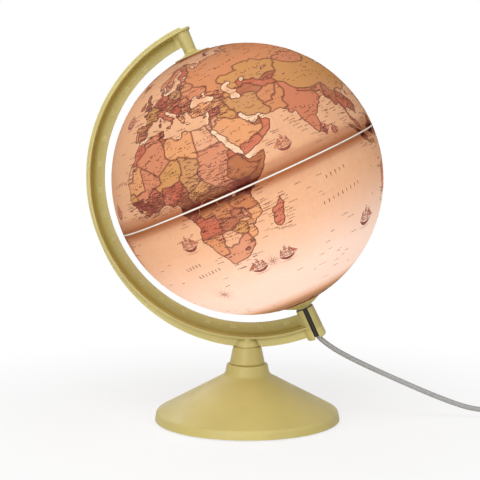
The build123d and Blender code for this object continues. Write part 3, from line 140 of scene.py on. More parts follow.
# Map: coasts, lakes, borders and rivers as "longitude,latitude" runs, lines separated by "|"
LANDS = """
-5.9,35.8 -4.3,35.2 -2.9,35.3 -2,35.1 -0.6,35.8 0.9,36.4 3,36.9 5.3,36.7 7.3,37.1 9.8,37.3 11,37 10.6,35.9
11.1,35.2 10.1,34.3 10.3,33.8 11.1,33.2 12.4,32.9 13.9,32.8 15.2,32.3 15.6,31.5 17.4,30.9 19,30.3 20.1,30.9
20.1,32.2 21.7,32.9 23.1,32.6 23.2,32.2 25.1,31.6 27.3,31.3 29,30.8 30.3,31.4 31.6,31.5 32.4,31.2 32.6,29.9
33.6,27.8 34.1,26.1 35.5,23.9 35.6,22.9 37,21.2 37.3,19.6 38.5,18 39.7,15.4 41.2,14.6 43.1,12.7 43.3,11.5
44.3,10.4 46.6,10.8 49,11.3 51.2,11.9 51.1,10.6 50.1,8.1 48,4.5 46,2.4 43.5,0.6 42.1,-0.9 41.6,-1.7
40.2,-2.6 39.2,-4.7 38.8,-6.3 39.5,-7.1 39.3,-8.3 40.4,-10.4 40.6,-12.6 40.7,-15 39.8,-16.4 37.9,-17.3
36.3,-18.9 34.8,-19.9 35.4,-21.6 35.6,-23.7 35,-24.6 32.9,-25.3 32.6,-26 32.9,-27.2 32.3,-28.7 31,-30 29,-32
27.5,-33.2 25.7,-33.9 24,-34 22,-34.1 20,-34.8 18.4,-34.2 18.2,-33 18.2,-31.8 17.1,-29.8 16.4,-28.6 15.3,-27
14.6,-24.5 14.4,-22.7 13.3,-20.6 12,-18.3 11.8,-16.6 12.4,-14.4 13.6,-12.3 13.8,-10.8 13.2,-9 12.9,-7.5
12.3,-6.1 11.8,-4.8 10.6,-3 9.4,-1.4 8.8,-0.7 9.6,1 9.8,3 9,4.4 8.5,4.6 7,4.4 6,4.3 4.9,5.8 4.3,6.3 2.7,6.4
1.2,6.1 0,5.6 -2,4.8 -3,5.1 -4.6,5.2 -6.1,4.9 -7.7,4.4 -9,5.2 -11.4,6.9 -12.9,7.9 -13.3,9 -14.8,10.9
-16.7,12.3 -16.8,13.6 -17.4,14.7 -16.5,16 -16.2,18 -16.3,19.2 -17,21 -16.2,22.6 -15.6,24 -14.8,25.6
-13.7,26.6 -12.9,27.7 -11.5,28.4 -10,29.5 -9.7,31.2 -8.5,33.3 -6.9,34.2
| 32.3,31.2 34.2,31.3 34.9,32.8 35.8,34.6 35.9,36.2 36.1,36.9 34.6,36.7 33.7,36.1 32.3,36.1 30.6,36.8
29.1,36.4 28,36.8 27.3,37 26.9,38.5 26.2,39.4 26.2,40.1 27.5,40.4 29,40.6 29.1,41.2 28,41 26.8,40.4
26.1,40.7 24.4,40.9 23.7,40.3 22.7,40.5 23,39.3 24,38.2 23.5,37.5 23.1,36.5 22.4,36.6 21.7,36.9 21.2,38.2
20.2,39.4 19.4,40.5 19.5,41.8 18.4,42.5 16.4,43.5 15.2,44.2 14.5,45.2 13.7,44.9 13.6,45.7 12.3,45.3
12.4,44.3 13.6,43.5 14.2,42.4 16.1,41.7 18,40.7 18.4,39.9 17,40.4 16.6,39.6 17.1,39 16.1,37.9 15.7,38.4
16.1,39.4 14.9,40.2 13.7,41.2 12.2,41.8 11.1,42.4 10.3,43.5 8.8,44.4 7.4,43.7 6.2,43.1 4.6,43.4 3.2,43.1
3.2,41.9 0.8,40.9 -0.3,39.5 0.2,38.8 -0.7,37.7 -2,36.8 -4.5,36.7 -5.6,36 -6.4,36.8 -7.4,37.2 -8.9,37
-8.8,38.4 -9.5,38.8 -8.8,40.7 -8.9,42.8 -8,43.7 -5.8,43.6 -3.6,43.4 -1.6,43.4 -1.2,44.8 -1.2,46 -2.8,47.5
-4.7,48 -4.6,48.6 -2.6,48.7 -1.6,48.7 -1.8,49.7 0.1,49.5 1.6,50.8 3.4,51.4 4.7,53 7,53.5 8.8,53.9 8.2,55.5
8.2,56.8 10.6,57.7 10.4,56.4 10,54.8 11,54 14.2,53.9 16.5,54.5 18.7,54.6 19.8,54.5 21.1,55.7 21.2,57.2
22.6,57.7 24.2,57.2 24,58.2 23.5,59.2 25.5,59.6 28,59.5 30.2,59.9 28.5,60.6 25,60.2 22.9,59.9 21.4,60.9
21.4,62.6 23.2,63.9 25.3,65.2 23.9,65.8 22.2,65.7 21.2,64.6 19.6,63.4 17.6,62.4 17.2,60.7 18.8,60 18,58.9
16.6,57.4 16,56.2 14.4,55.5 12.8,55.6 12,57.5 11,59 10.4,59.6 9,58.5 7,58.1 5.5,59 5.1,61 6.5,62.7 9,63.9
11.5,65 13.5,67.2 15.5,68.6 18.5,69.8 22,70.5 25.7,71.1 29,70.7 31,70.2 33.5,69.4 37,68.4 41,67 40.5,66.2
37.5,66.3 34.5,66.8 32.7,67 34.9,64.5 37.5,63.9 37,65 39.8,64.6 40.5,65 42.2,66.4 44.3,66.3 44,68.2
46.2,67.8 46,66.9 48.5,67.7 53,68.6 57.5,68.6 60,68.5 64.5,69 68,68.3 69,69.5 67,70 66.8,71.2 69,72.8
72.5,72.8 72.8,71.3 72,69.5 73.6,68 71.5,66.5 74.5,68.2 74.5,70.5 76,72 80.5,72.8 80.5,73.6 86.5,74.4
92,75.7 100,76.3 104.3,77.7 108,76.6 113,75.7 113.5,73.6 118,73.1 123.5,73.2 127,72.5 129,71 132.5,71.6
139.5,72.3 141,72.7 149,72.2 152.5,70.9 160,69.6 170,69.6 176,69.8 180,68.9 185,67.2 190,66.1 187,64.7
182,65.5 180,65 177.5,64.5 179,62.4 174.5,61.8 170.3,60 166,60 163.5,58.3 162,57.8 163,56.1 161.8,54.9
160,53.2 156.8,51.1 155.7,53.5 155.6,56.5 157,57.8 161.5,60.3 163.8,62.5 160,60.8 156.5,61.6 154.3,59.6
149,59.5 142.5,59.2 137.5,56 135.2,54.8 141.2,53 140.5,50.5 138,46.8 135.5,44 132.3,43.2 130,42 127.6,40
127.4,39.2 129.4,37.2 129.3,35.4 126.5,34.4 126.3,36.6 125,38 124.5,39.8 121.8,39 121.6,40.8 119,39.2
117.7,38.8 119,37.3 122.5,37.2 119.3,35 120.8,33 121.9,31.5 121.9,29.5 119.6,25.5 117,23.5 113.8,22.2
110.5,21.2 109.8,20.4 109.6,21.6 107.8,21.3 105.8,19 107,17 109,14.9 109.3,12.5 107.2,10.5 105.3,8.7
104.8,10.3 102.8,11.8 100.9,12.8 100,13.3 99.2,11 99.6,9.3 101,6.9 103.3,4.5 103.4,2 104.2,1.4 103.4,1.4
101,3.2 100.3,6 98.4,8 98.6,11.5 97.7,14.5 97.4,16.6 95.3,15.8 94.3,16.2 94.4,18.2 93.7,19.7 91.9,22.2
90.5,22.6 88.3,21.7 87,21.4 86.5,20.2 85.2,19.6 82.3,16.8 80.3,15.7 80.2,13.2 79.8,10.4 78.9,9.4 78.2,8.8
77.5,8.1 76.5,9.4 75.7,11.5 74.5,14.3 73.4,16.1 72.8,18.9 72.7,21.1 72.2,21.2 70.8,20.8 69,22.3 70.2,22.9
68.2,23.7 66.7,25.2 64.6,25.2 61.6,25.1 58.5,25.6 57.2,26.9 56.3,27.1 54.6,26.5 52.6,27.4 51.2,28 50,30.2
48.9,30.3 47.9,30 48.3,28.7 50.1,26.6 50.7,25 51.2,26 51.6,25.2 51.6,24.2 54,24.1 56.1,26.1 56.4,25
56.8,24.1 58.6,23.6 59.8,22.4 58.6,20.4 57.8,19 56.6,18.1 55.2,17.4 52.2,15.6 49.5,14.5 47.9,14 45.2,13
43.5,12.7 43.2,13.4 42.7,15.7 42.5,16.8 41.1,18.8 39.6,20.4 39.1,21.6 38.4,23.8 37.2,24.9 36.5,26 35.2,28
34.7,28.1 35,29.5 34.2,27.8 33.2,28.8 32.6,29.9
| 49.3,-12 50.2,-15.6 49.6,-16.8 48.4,-20.5 47.2,-24.9 45.5,-25.6 44,-24.8 43.4,-22.4 44.4,-20 44.2,-17.3
44.9,-16.2 46.4,-15.7 48,-13.6
| -5.6,50.1 -3.5,50.4 1.3,51.1 0.8,51.5 1.7,52.6 0.2,53.2 -1.4,54.8 -2.1,56 -2,57.5 -4,57.7 -3.1,58.6
-5,58.5 -5.7,57.2 -5.5,56 -4.9,54.8 -3.2,54.8 -3.1,53.5 -4.6,53.2 -4.3,52.2 -5.1,51.7 -3.2,51.3 -4.3,51.1
| -6,52.2 -8.5,51.6 -10.2,51.8 -9.9,53.4 -8.5,54.3 -7.4,55.3 -5.7,54.7 -6.2,53.5
| -22.7,63.8 -18.7,63.4 -14,64.6 -15,66.2 -18.5,66.1 -22,66.4 -24,65.5 -21.8,64.6
| 12.5,37.9 15.5,38.2 15.1,36.7 12.9,37.5 | 8.2,40.9 9.7,40.8 9.5,39.1 8.5,39 | 8.7,42.5 9.5,42.9 9.4,41.5
8.8,41.5
| 23.6,35.5 26.2,35.2 24.8,34.9 | 32.4,34.9 34.5,35.6 33.9,34.9 33,34.6 | 11.2,55.7 12.5,56 12.3,55
| 79.8,8 80.3,9.7 81.8,7.5 80.6,6 79.9,6.8 | 11,79.2 16,80 27,80.1 21,78.4 16.6,76.6 13.5,78
| 51.8,71.5 55.5,70.7 57.5,71.5 55.6,73.1 60,75.3 68.5,76.7 64,76.5 57,75.6 53.5,73.2 | 95,79.2 100,81
105,79 100,78.2
| 95.3,5.6 97.5,5.2 100.4,2.5 103.5,0 104.6,-1.8 106,-3.2 105.8,-5.8 104.4,-5.8 102.2,-3.9 100.4,-1 98.6,1.8
96.3,3.8 | 105.3,-6.8 108.5,-6.7 111,-6.5 114.5,-7.8 113,-8.4 108,-7.8
| 109,1.7 111.4,2.4 113.2,3.3 115.4,5.2 117,7 119.2,5.2 117.6,3.3 118.8,1 117.3,0.4 116.4,-1.8 116.2,-4
114.5,-4.1 111.8,-3.4 110.1,-1.7 109.1,0.4
| 119.4,-5.5 119,-3 119.8,0.3 121,1.2 124.5,1.5 123.4,0.4 120.3,0.4 121.5,-0.9 123.3,-0.9 121.8,-2
122.7,-4.5 121,-2.8 120.4,-5.5
| 131,-0.8 134,-0.8 135,-3.2 138,-1.7 141,-2.6 144.6,-3.9 147.8,-6.2 150.6,-10.4 147,-9.6 143.5,-8.6
140,-8.2 138,-8.3 138.6,-6.8 135.4,-4.4 132.8,-4 132,-2.8
| 120.4,16.4 120.7,18.5 122.2,18.4 121.6,15.8 124,13 123.8,12.6 120.6,13.9
| 122,7 123.4,8.7 125.5,9.8 126.5,7.3 125.5,5.7 124,6.7
| 131,34 132.5,35.5 136,35.7 137,37.4 139.4,38.2 140,40.7 141.4,41.4 142,39.5 140.9,36.8 140.4,35.2
138.8,34.7 136.8,34.4 135.7,33.5 133,34.3 | 140.1,41.6 140.4,43.3 141.8,45.5 145.3,43.6 143.2,42
| 129.8,33.3 131.8,33.7 131.3,31.4 130.2,31.2 | 142,46 142.2,49 141.8,53.3 143,54.2 143.4,51 144.6,49 143,47
| 120.2,23 121.6,25.2 121,22 | 108.7,19.2 110,20.1 111,19.6 109.8,18.3
| 113.7,-22.5 114.2,-26.3 115,-29.5 115.7,-32 115.1,-34.3 118,-35 120,-33.9 123.6,-33.9 126.1,-32.3
131.1,-31.5 134.3,-33 135.7,-34.9 137.8,-32.6 136.9,-35.2 138.4,-35.6 140.5,-38 143.5,-38.8 146.4,-39
150,-37.4 151.3,-33.7 153,-31 153.6,-28.2 153.1,-25.5 150.8,-23.3 149,-20.4 146.3,-18.9 145.4,-15
143.5,-14.1 142.5,-10.8 141.6,-13.5 141,-17.4 139.3,-17.5 135.5,-14.9 136.9,-12.2 132.6,-11.5 130.8,-12.5
129.7,-14.9 127.8,-14.3 125.9,-14.3 123.6,-17.3 122.2,-18.1 119.2,-20 116.8,-20.7
| 144.7,-40.8 148.2,-40.9 147.9,-43.2 146,-43.5
| 172.8,-34.5 175,-36.4 178.4,-37.7 176.9,-39.5 175.3,-41.6 175,-40 173.8,-39.3 174.8,-38
| 172.7,-40.6 174.2,-41.7 172.8,-43.8 170.8,-45.9 168.4,-46.6 166.6,-46 170.5,-43
| -168,65.6 -161,66.3 -166,68.4 -157,71.3 -141,69.7 -129,70 -125,69.5 -115,68.2 -108,68 -98,68 -94,71.5
-90,69 -85,69.5 -82,67.5 -87,64.5 -93.5,61.5 -94.5,58.8 -92.5,57 -85,55.2 -82.3,52.8 -79,51.5 -79.5,54.8
-77,57 -78,62.3 -73,62.2 -69.5,61 -69.5,58.9 -65,59.8 -62,57.5 -60,55 -56,52.5 -60,50.2 -66.5,50.2 -70,47
-65,49 -65,47 -61,46 -66,43.6 -70.5,43.5 -70,41.8 -74,40.5 -75.5,37.5 -76,35.2 -79,33.3 -81.3,31.3
-80.1,26.8 -81.1,25.2 -82.7,28 -84,30 -88,30.3 -90,29.2 -94,29.6 -97.3,27.5 -97.7,22.5 -96,19 -92,18.6
-90.5,21 -87,21.4 -88,18 -88.8,15.9 -83.3,15 -83.7,11 -81,8.9 -79.5,9.5 -77.2,8.4 -78,7.5 -80.5,7.4 -83,8.3
-85.8,10.2 -87.7,13 -92.3,14.6 -95,16.1 -99.5,16.7 -105,19.8 -105.5,22.5 -109.4,26 -112.9,30.5 -114.8,31.7
-112.5,28.5 -109.5,23.2 -112.2,25 -115,28.7 -117,32.5 -120.6,34.5 -122.5,37.7 -124.3,40.3 -124,46
-124.7,48.4 -123,49 -128,51.5 -131,55 -136,58.2 -141,60 -147,61 -152,59.5 -158,56.6 -164,54.8 -158,58.6
-162,58.7 -165,61 -161,64.4
| -80,73.7 -72,71.5 -62,66.7 -65,63 -72,64.5 -73,67.5 -82,70 -89,71
| -90,77 -78,76.5 -70,81 -63,82.7 -80,83 -92,81 | -117,71 -105,73 -102,69 -115,69
| -73,78.3 -60,76 -54,70 -51.5,64.2 -48,61 -43,60 -41,64 -33,68 -22,70.5 -20,75 -17,80 -30,83.5 -50,82.3
-65,80.5
| -85,22 -80.5,23 -74.2,20.2 -77.5,19.9 | -74.3,18.5 -72.5,19.9 -68.5,18.6 -71,17.8 | -59,47.7 -56,51.5
-53,47
| -77.3,8.5 -75.5,10.7 -72,12.2 -71.4,10.9 -68,11.5 -63,10.7 -60,8.5 -57,6 -51.5,4.3 -50,0.5 -48,-0.8
-44.3,-2.5 -40,-2.9 -35.3,-5.3 -34.9,-8.3 -38.5,-13 -39,-17.5 -41,-22 -45,-23.8 -48.6,-26 -48.7,-28.6
-52,-32.8 -54.9,-35 -58.3,-34.2 -56.8,-36.6 -62,-39 -65,-41 -63.8,-42.8 -67.5,-46 -65.8,-47.3 -69,-51
-68.3,-52.7 -65.3,-54.7 -70,-55.2 -74.8,-51 -75.4,-47 -73.5,-42 -73.6,-37.2 -71.6,-32 -70.4,-25 -70.2,-18.5
-76.2,-14 -79.5,-8 -81.2,-5.5 -80,-3 -80.9,-1 -78.8,1.5 -77.4,4 -77.6,7
| -180,-81 -160,-80 -130,-79 -105,-78 -80,-77 -68,-73 -58,-67 -61,-75 -60,-79 -40,-82 -25,-80 -10,-78 10,-78
30,-77.5 40,-78 55,-76 70,-77.5 80,-76.5 95,-76 110,-76 130,-76 145,-76.5 160,-77.5 170,-78 165,-81 180,-81
180,-90 -180,-90
"""
LAKES = """
29.1,41.2 31.3,41.1 33.3,42 35,42 36.4,41.3 38.4,40.9 41.4,41.4 41.5,42.6 39,44.1 37.4,45.2 38.2,46.3
39.2,47.2 36.8,46.7 35,46.1 36.5,45.3 35.4,45 33.6,44.4 32.5,45.4 33.6,46.1 31.5,46.6 30.6,46.2 29.6,45.2
28.6,43.8 27.9,43.2 27.7,42.4 28.1,41.6
| 47,44.5 47.6,43 48.6,41.8 49.6,40.5 49.2,39 48.9,38 50.2,37.4 52,36.7 53.8,37 53.8,39 53,40 54.6,41
52.9,41.8 51.2,43.2 50.3,44.4 51.3,45.3 53,45.3 53.1,46.6 51.2,47 49,46.4 47.6,45.6
| 58.3,45.7 59.5,46.4 61.5,46.5 61,44.6 59,43.8 58.2,44.5 | 73.7,45.6 75,46.7 79,46.6 76.5,46.3
| 103.8,51.6 106,53 109.5,55.6 108.5,53.6 106,51.9 | 31.8,-0.5 32.2,0.2 34,0.2 34,-1 33,-2.4 31.8,-2.2
"""
BORDERS = """
-2,35.1 -1.8,33 -1.2,32.3 -3.5,31 -5.5,29.9 -8.7,28.7 -8.7,27.4 | -8.7,27.5 -13,27.7
| -8.7,27.4 -8.7,26 -12,26 -12,23.4 -13.1,22.8 -13,21.3 -17,21
| -8.7,27.3 -4.8,25 1.2,21.1 1.8,20.3 3.2,19 4.2,19.1 7.5,20.9 12,23.5 10.2,24.6 9.4,26.2 9.8,28.2 9.5,30.2
9,32.1 7.6,33.8 8.4,35.2 8.2,36.5 8.6,36.9 | 9.5,30.2 10.3,31.7 11.5,32.4 11.5,33.1
| -4.8,25 -6.5,24.9 -5.6,16.5 -5.5,15.5 -9.5,15.4 -12.2,14.8 -14,16.4 -16.5,16.1
| -12.2,14.8 -11.4,12.4 -13.7,12.6 -16.7,12.4 | -11.4,12.4 -9,12.3 -8,10.2 -7.9,8.5 -8.5,7.6 -7.5,5.9
-7.6,4.4
| -8.5,7.6 -10.3,8.5 -11.5,6.9 | -10.3,8.5 -11,10 -13.3,9.1
| -8,10.2 -6.2,10.5 -5.5,10.4 -4.3,12.5 -3.2,13.7 -0.2,15 0.2,14.9 2.1,12.7 2.4,11.9
| -5.5,10.4 -2.8,9.7 -2.8,11 0,11.1 0.9,11 2.4,11.9 3.6,11.7 | -2.8,9.7 -2.6,7 -3.1,5.1 | 0,11.1 0.5,8.5
1.2,6.1
| 0.9,11 1.6,9 1.7,6.2 | 3.6,11.7 2.8,9 2.7,6.4 | -0.2,15 3.5,15.4 4.2,16.4 4.2,19.1
| 3.6,11.7 4.1,13.5 6.8,13.1 9,12.8 11,13.4 13.6,13.7 13.5,14.5 15.5,16.9 15.9,20.4 15,23
| 12,23.5 14.2,22.6 15,23 16,23.4 24,19.5 24,20 25,20 25,22 25,29.2 25.1,31.6
| 25,22 31.4,22 36.9,22 | 24,19.5 23.9,15.7 22.9,15.5 22,13 22.9,11 24,8.7 26.4,6.6 27.4,5
| 13.6,13.7 14.1,12.6 13.2,9.6 11.5,6.6 9.2,6.4 8.5,4.7 | 14.1,12.6 15,10 15.5,7.5 18.6,8.1 21,9.5 22.9,11
| 15.5,7.5 14.4,5.5 16.2,2.2 13.3,2.2 9.8,2.3 | 9.8,1 11.3,1 11.3,2.2 | 13.3,2.2 14.4,1.3 14,-2 12.4,-2.3
11.1,-3.9
| 16.2,2.2 18.6,3.5 18.6,4.4 22.4,4.1 25,5 27.4,5 | 18.6,3.5 17.7,-0.5 16.2,-2.2 15.2,-4.3 13.1,-4.6
12.2,-5.7
| 12.3,-6 16.5,-5.9 17.5,-8.1 19.4,-7.5 21.8,-7.3 22.2,-11.1 24,-10.9 25.4,-11.3 27.2,-11.6 28.4,-12.5
29.8,-13.4 29.6,-12.2 28.4,-11.8 28.7,-8.5 30.8,-8.3 29.4,-5.5 29.2,-3 29,-2.7 29.6,-1.4 29.8,0.5 31.3,2.2
30.8,3.6 29.5,4.5 27.4,5 | 30.8,3.6 34,4.2 35,1.9 34,0.2 | 34,-1 37.6,-3.1 39.2,-4.7 | 30.5,-1.1 34,-1
| 29.6,-1.4 30.5,-1.1 30.8,-2.4 29.9,-4.4 29.3,-4.4 | 29,-2.7 30.5,-2.4
| 34,4.2 36,4.4 38,3.6 41.9,3.9 41,2.8 41,-0.9 41.6,-1.7 | 41.9,3.9 45,5 48,8 44,9 42.7,11
| 43.2,11.5 41.8,11.5 42.4,12.5 43.1,12.7 | 42.4,12.5 40.8,14.2 38.5,14.4 36.5,14.3 37,17 38.5,18
| 36.5,14.3 35,11.5 34,8.5 33,7.8 36,4.4 | 24,-10.9 24,-13 22,-13 22,-16.2 23.4,-17.6
| 11.8,-17.3 14.2,-17.4 18.5,-17.4 21.4,-18 23.4,-17.6 25.3,-17.8
| 21,-18.3 21,-22 20,-22 20,-24.8 20,-28.4 17.2,-28.7 16.4,-28.6
| 20,-24.8 22,-26.3 23,-25.3 25.5,-25.7 27,-23.7 29.4,-22.2 31.3,-22.4
| 29.4,-22.2 27.7,-20.5 25.3,-17.8 27,-17.9 28.9,-15.9 30.4,-15.6
| 30.4,-15.6 31.2,-16 32.9,-17 32.7,-19 32.4,-21.3 31.3,-22.4 32,-24.5 32,-26 32.1,-26.8 32.9,-26.9
| 31,-26 32,-25.9 32.1,-27.2 31,-27.2 31,-26 | 27,-29.6 28.6,-28.7 29.4,-29.5 28.2,-30.5 27,-29.6
| 30.4,-15.6 30.2,-14.9 33.2,-14 32.8,-12 33.2,-9.5 34,-9.5 34.6,-11.6 35.8,-14.5 35.2,-16.5 34.4,-14.4
33.2,-14 | 30.8,-8.3 33,-9.4 | 34.6,-11.6 37.4,-11.6 40.4,-10.5
| 34.2,31.3 34.9,29.5 | 35,29.5 35.5,31.5 35.6,32.7 35.1,33.1 36.4,34.4 36,34.6 | 35.6,32.7 38.8,33.4
| 35,29.4 36.1,29.2 37.7,30.4 37,31.5 39.2,32.1 38.8,33.4 41.2,34.8 41.3,36.4 42.4,37.1
| 39.2,32.1 42,31.1 44.7,29.2 46.5,29.1 47.6,30.1 | 46.5,29.1 47.5,28.6 48.4,28.5
| 42.8,16.4 43.3,17.4 45.2,17.4 47,17 49,18.6 52,19 55,20 55.7,22 55.8,24.2 56.4,24.9
| 51.6,24.1 52.6,22.9 55.1,22.6 55.7,22 | 52,19 53.1,16.6
| 36,36 36.7,36.8 38.5,36.9 42.4,37.1 44.8,37.2 44.3,39.5 43.6,40.2 43.5,41.1 41.5,41.5
| 44.8,37.2 45.4,35.9 46,33.9 47.7,32 47.8,31 48.6,30 | 40,43.4 43,42.9 46.4,41.9 48.6,41.8
| 43.5,41.1 46.5,41.2 46.4,41.9 | 45,41.3 46.5,39.5 46.6,38.9 | 44.8,39.6 46.6,38.9 48,39.6 48.9,38.4
| 53.9,37.3 56,38.1 58.5,37.6 61.2,36.6 61.2,35.6 60.6,34 60.9,31.5 61.8,30.9 60.9,29.8 62.8,27.3 63.2,26.6
61.6,25.2 | 60.9,29.8 66.3,29.9 66.5,31.4 69.3,31.9 70.3,33.4 71.6,35.2 74.5,37.1
| 61.2,35.6 64.5,36.3 66.5,37.4 68,37 70.2,37.6 71.6,36.8 74.5,37.1
| 66.5,37.4 64,39 61.9,41.2 60,42.2 58.5,42.7 57,41.3 56,41.3
| 52.4,41.8 54,42.3 56,41.3 56,45 58.5,45.6 61.1,44.3 62,43.5 66,42.9 66,42 68,41.1 70.9,42.3 73.5,43
80.2,42.2 | 68,41.1 69.2,40.2 70.7,40.9 73,40.8 71.7,39.5 73.8,39.5
| 80.2,42.2 76,40.4 73.8,39.5 75,37.4 74.5,37.1
| 49.2,46.3 46.6,48.4 47,50 50.8,51.7 55,50.6 58.6,51 61.5,50.8 60,52 61.5,53 61,54 65,54.4 71,54.3
73.5,53.5 76.5,54.2 77.9,53.3 80,50.8 83.5,51 87.3,49.1 85.5,47.1 82.3,45.5 80.2,42.2
| 87.8,49.2 92,50.7 98,50 98.3,52 102.2,51.3 107,50 113,49.6 116.7,49.8 119.9,46.7 111.9,43.7 105,41.6
96.4,42.7 90.9,45.2 87.8,49.2 | 116.7,49.8 120.1,53.3 126,52.8 127.5,50 131,47.7 134.7,48.4 131,45
130.6,42.4 | 124.4,40 128,42 130.6,42.4 | 126.7,37.8 128.4,38.6
| 74.5,37.1 77.8,35.5 79,32.5 81,30.2 88.1,27.9 92,27.8 97.3,28.2
| 74.5,37.1 74,34.7 74.5,32 73,29.9 70,27.8 71.1,24.5 68.2,23.7 | 80.1,28.8 84,27.4 88.1,26.4 88.1,27.9
| 88.8,27.2 91.7,26.8 92,27.8 | 89,21.8 88.8,24.2 88.6,26.4 89.8,25.3 92.2,25 92.3,22
| 97.3,28.2 95,26.5 93.4,23.5 92.4,21 | 97.3,28.2 98.7,25.9 98,24 101.2,21.5 102.2,22.5 106.7,22.8 108,21.6
| 102.2,22.5 104.5,20 107.5,15 107.5,12.3 106,11 104.5,10.4
| 101.2,21.5 100.2,20.3 101,17.6 104.7,17 105.5,14.4 102.5,13.6 102.9,11.7
| 100.2,20.3 97.7,18 98.9,15 99.2,12 98.7,10.2
| 11.2,59 12.2,62 14,64.2 15.5,66.2 18.2,68.5 20.3,69 23.7,67.9 24.1,65.9
| 20.3,69 25.7,69 28,70 28.8,69 30.8,69.7 | 28.8,69 30,67 29.7,64.8 31.4,62.8 28,60.6
| 28.1,59.4 27.5,57.6 24.4,57.9 | 27.5,57.6 28.2,56.1 | 21.1,56 26.5,55.7 28.2,56.1 | 22.8,54.4 25.7,54
26.5,55.7
| 28.2,56.1 31,54.6 32.5,53.3 31.8,52.1 30.5,51.3 23.6,51.6 23.6,53.9 22.8,54.4
| 31.8,52.1 34.2,51.2 36,50.3 40,49.5 39,46.9 | 22.6,49.1 22.9,48 | 23.6,51.6 24,50.6 22.6,49.1 18.9,49.5
15,51 14.6,53.5
| 15,51 12.3,50.3 13.8,48.8 17,48.6 18.9,49.5 | 17,48 18.8,47.8 22.6,49.1
| 22.9,48 21.2,46.2 18.8,45.9 16.2,46.9 17,48 | 22.9,48 26.6,48.3 28.1,46.5 28.2,45.4 29.6,45.3
| 21.2,46.2 21.4,44.8 22.7,44.2 27,44.1 28.6,43.7 | 22.7,44.2 22.4,42.3 23,41.3 26.3,41.7 28,42
| 26.3,41.7 26,40.8 | 23,41.3 21,40.9 20,39.7 | 21,40.9 20.5,42.2 19.4,41.9
| 18.8,45.9 19,44.9 15.8,45.2 17.6,43 | 16.2,46.9 13.6,45.5
| 13.6,45.8 13.7,46.5 10.5,46.9 7,45.9 7,44.2 7.5,43.8 | 13.8,48.8 13,47.6 9.6,47.5 7.6,47.6 6.1,46.2 7,45.9
| 9.6,47.5 10.5,46.9 | 7.6,47.6 8.2,49 6.3,49.5 2.5,51.1 | 3.4,51.4 6,51.2 6.3,49.5 | 6,51.2 7,53.3
| 8.6,54.9 9.9,54.8 | -1.8,43.3 0.7,42.7 3.1,42.4 | -7.4,37.2 -7,39.5 -6.3,41.5 -8.8,41.9
| -123,49 -95,49 -89,48 -83,46 -82.5,42.5 -79,43.3 -75,45 -71,45 -67,47 | -141,69.7 -141,60.3
| -117,32.5 -111,31.3 -106.5,31.8 -101,29.8 -97.3,26 | -92.3,14.6 -90.5,16 -89,17.8 -88.3,18.4
| -72,12 -72.5,8 -67.5,6.2 -67,1.2 -69.5,1 -70,-4.2 | -70,-4.2 -73,-5 -74,-8 -70.5,-11 -69,-11 -65.3,-10
-60.5,-13.8 -58,-17 -58,-20 -54.6,-25.5 -57.6,-30.2 -53.5,-33.7 | -60,5 -60.5,2 -57,2 -52,3.5 | -60.7,8
-60,5 -64,4 -67,1.2
| -78.8,1.4 -75,0 -70,-4.2 | -80.3,-3.4 -78.5,-4.5 -75.3,-0.5 | -70.4,-18.4 -69,-17.5 -69,-11
| -69,-17.5 -67.5,-22.5 -62.5,-22.2 -58,-20 | -62.5,-22.2 -57.7,-25.3 -54.6,-25.5
| -67.5,-22.5 -70,-29 -70,-34 -71.5,-40 -72,-48 -72.3,-52 -68.4,-52.4
"""
RIVERS = """
31,30.2 30.7,27.5 32.7,25.7 32.9,24 31,21.5 33.5,19.5 33,16.5 32.5,15.6 32.6,13 31.6,9.5 31.5,5 31.4,2.2
33.2,0.4 | 32.5,15.6 34.4,11.5 37.3,11.6 | 12.4,-6 15.3,-4.3 18,0.5 22,2.2 25.2,0.5 26.5,-5
| 6,4.5 6.7,7.8 4,12 0,16.5 -4,14.5 -9.5,10 | 29.2,-3.4 30.3,-6.5 30.9,-8.7 | 34,-9.6 34.6,-12 34.8,-14
"""

# The print sits on the ball a little drawn in towards the equator, more so in the south
SOUTH_DRAW = 0.66
NORTH_DRAW = 0.87
SIDE_DRAW = 2.9


def printed(lon, lat):
    """Longitude and latitude at which the print shows a true place."""
    lon, lat = np.asarray(lon, float), np.asarray(lat, float)
    draw = np.where(lat < 0, SOUTH_DRAW, NORTH_DRAW)
    shown_lon = lon - SIDE_DRAW * np.sin(np.radians(lon - FACING_MERIDIAN))
    return shown_lon, lat * (draw + (1 - draw) * np.abs(lat) / 90)


def on_ball(lon, lat, radius=BALL_RADIUS):
    """Points on the ball at printed longitudes and latitudes."""
    east, north = np.radians(np.asarray(lon, float) - FACING_MERIDIAN), np.radians(np.asarray(lat, float))
    flat = np.cos(north)[..., None]
    way = flat * (np.cos(east)[..., None] * FRONT + np.sin(east)[..., None] * EAST)
    return BALL_CENTRE + radius * (way + np.sin(north)[..., None] * NORTH)


def runs(text, close=False):
    """Lines of a map text as arrays of printed longitude and latitude."""
    found = []
    for part in text.split("|"):
        line = np.array([[float(value) for value in pair.split(",")] for pair in part.split()])
        line = np.stack(printed(*line.T), 1)
        found.append(np.vstack([line, line[:1]]) if close else line)
    return found


RANDOM_SEED = 7
FINEST_STEP = 0.2
COAST_WANDER = 0.16
BORDER_WANDER = 0.05
chance = np.random.RandomState(RANDOM_SEED)


def crinkle(line, amount):
    """Splits a line into short steps that wander like a surveyed one."""
    while True:
        step = line[1:] - line[:-1]
        long = np.nonzero(np.hypot(step[:, 0], step[:, 1]) > FINEST_STEP)[0]
        if len(long) == 0:
            return line
        across = np.stack([-step[long, 1], step[long, 0]], 1)
        middle = line[long] + step[long] / 2 + across * chance.uniform(-amount, amount, (len(long), 1))
        line = np.insert(line, long + 1, middle, axis=0)


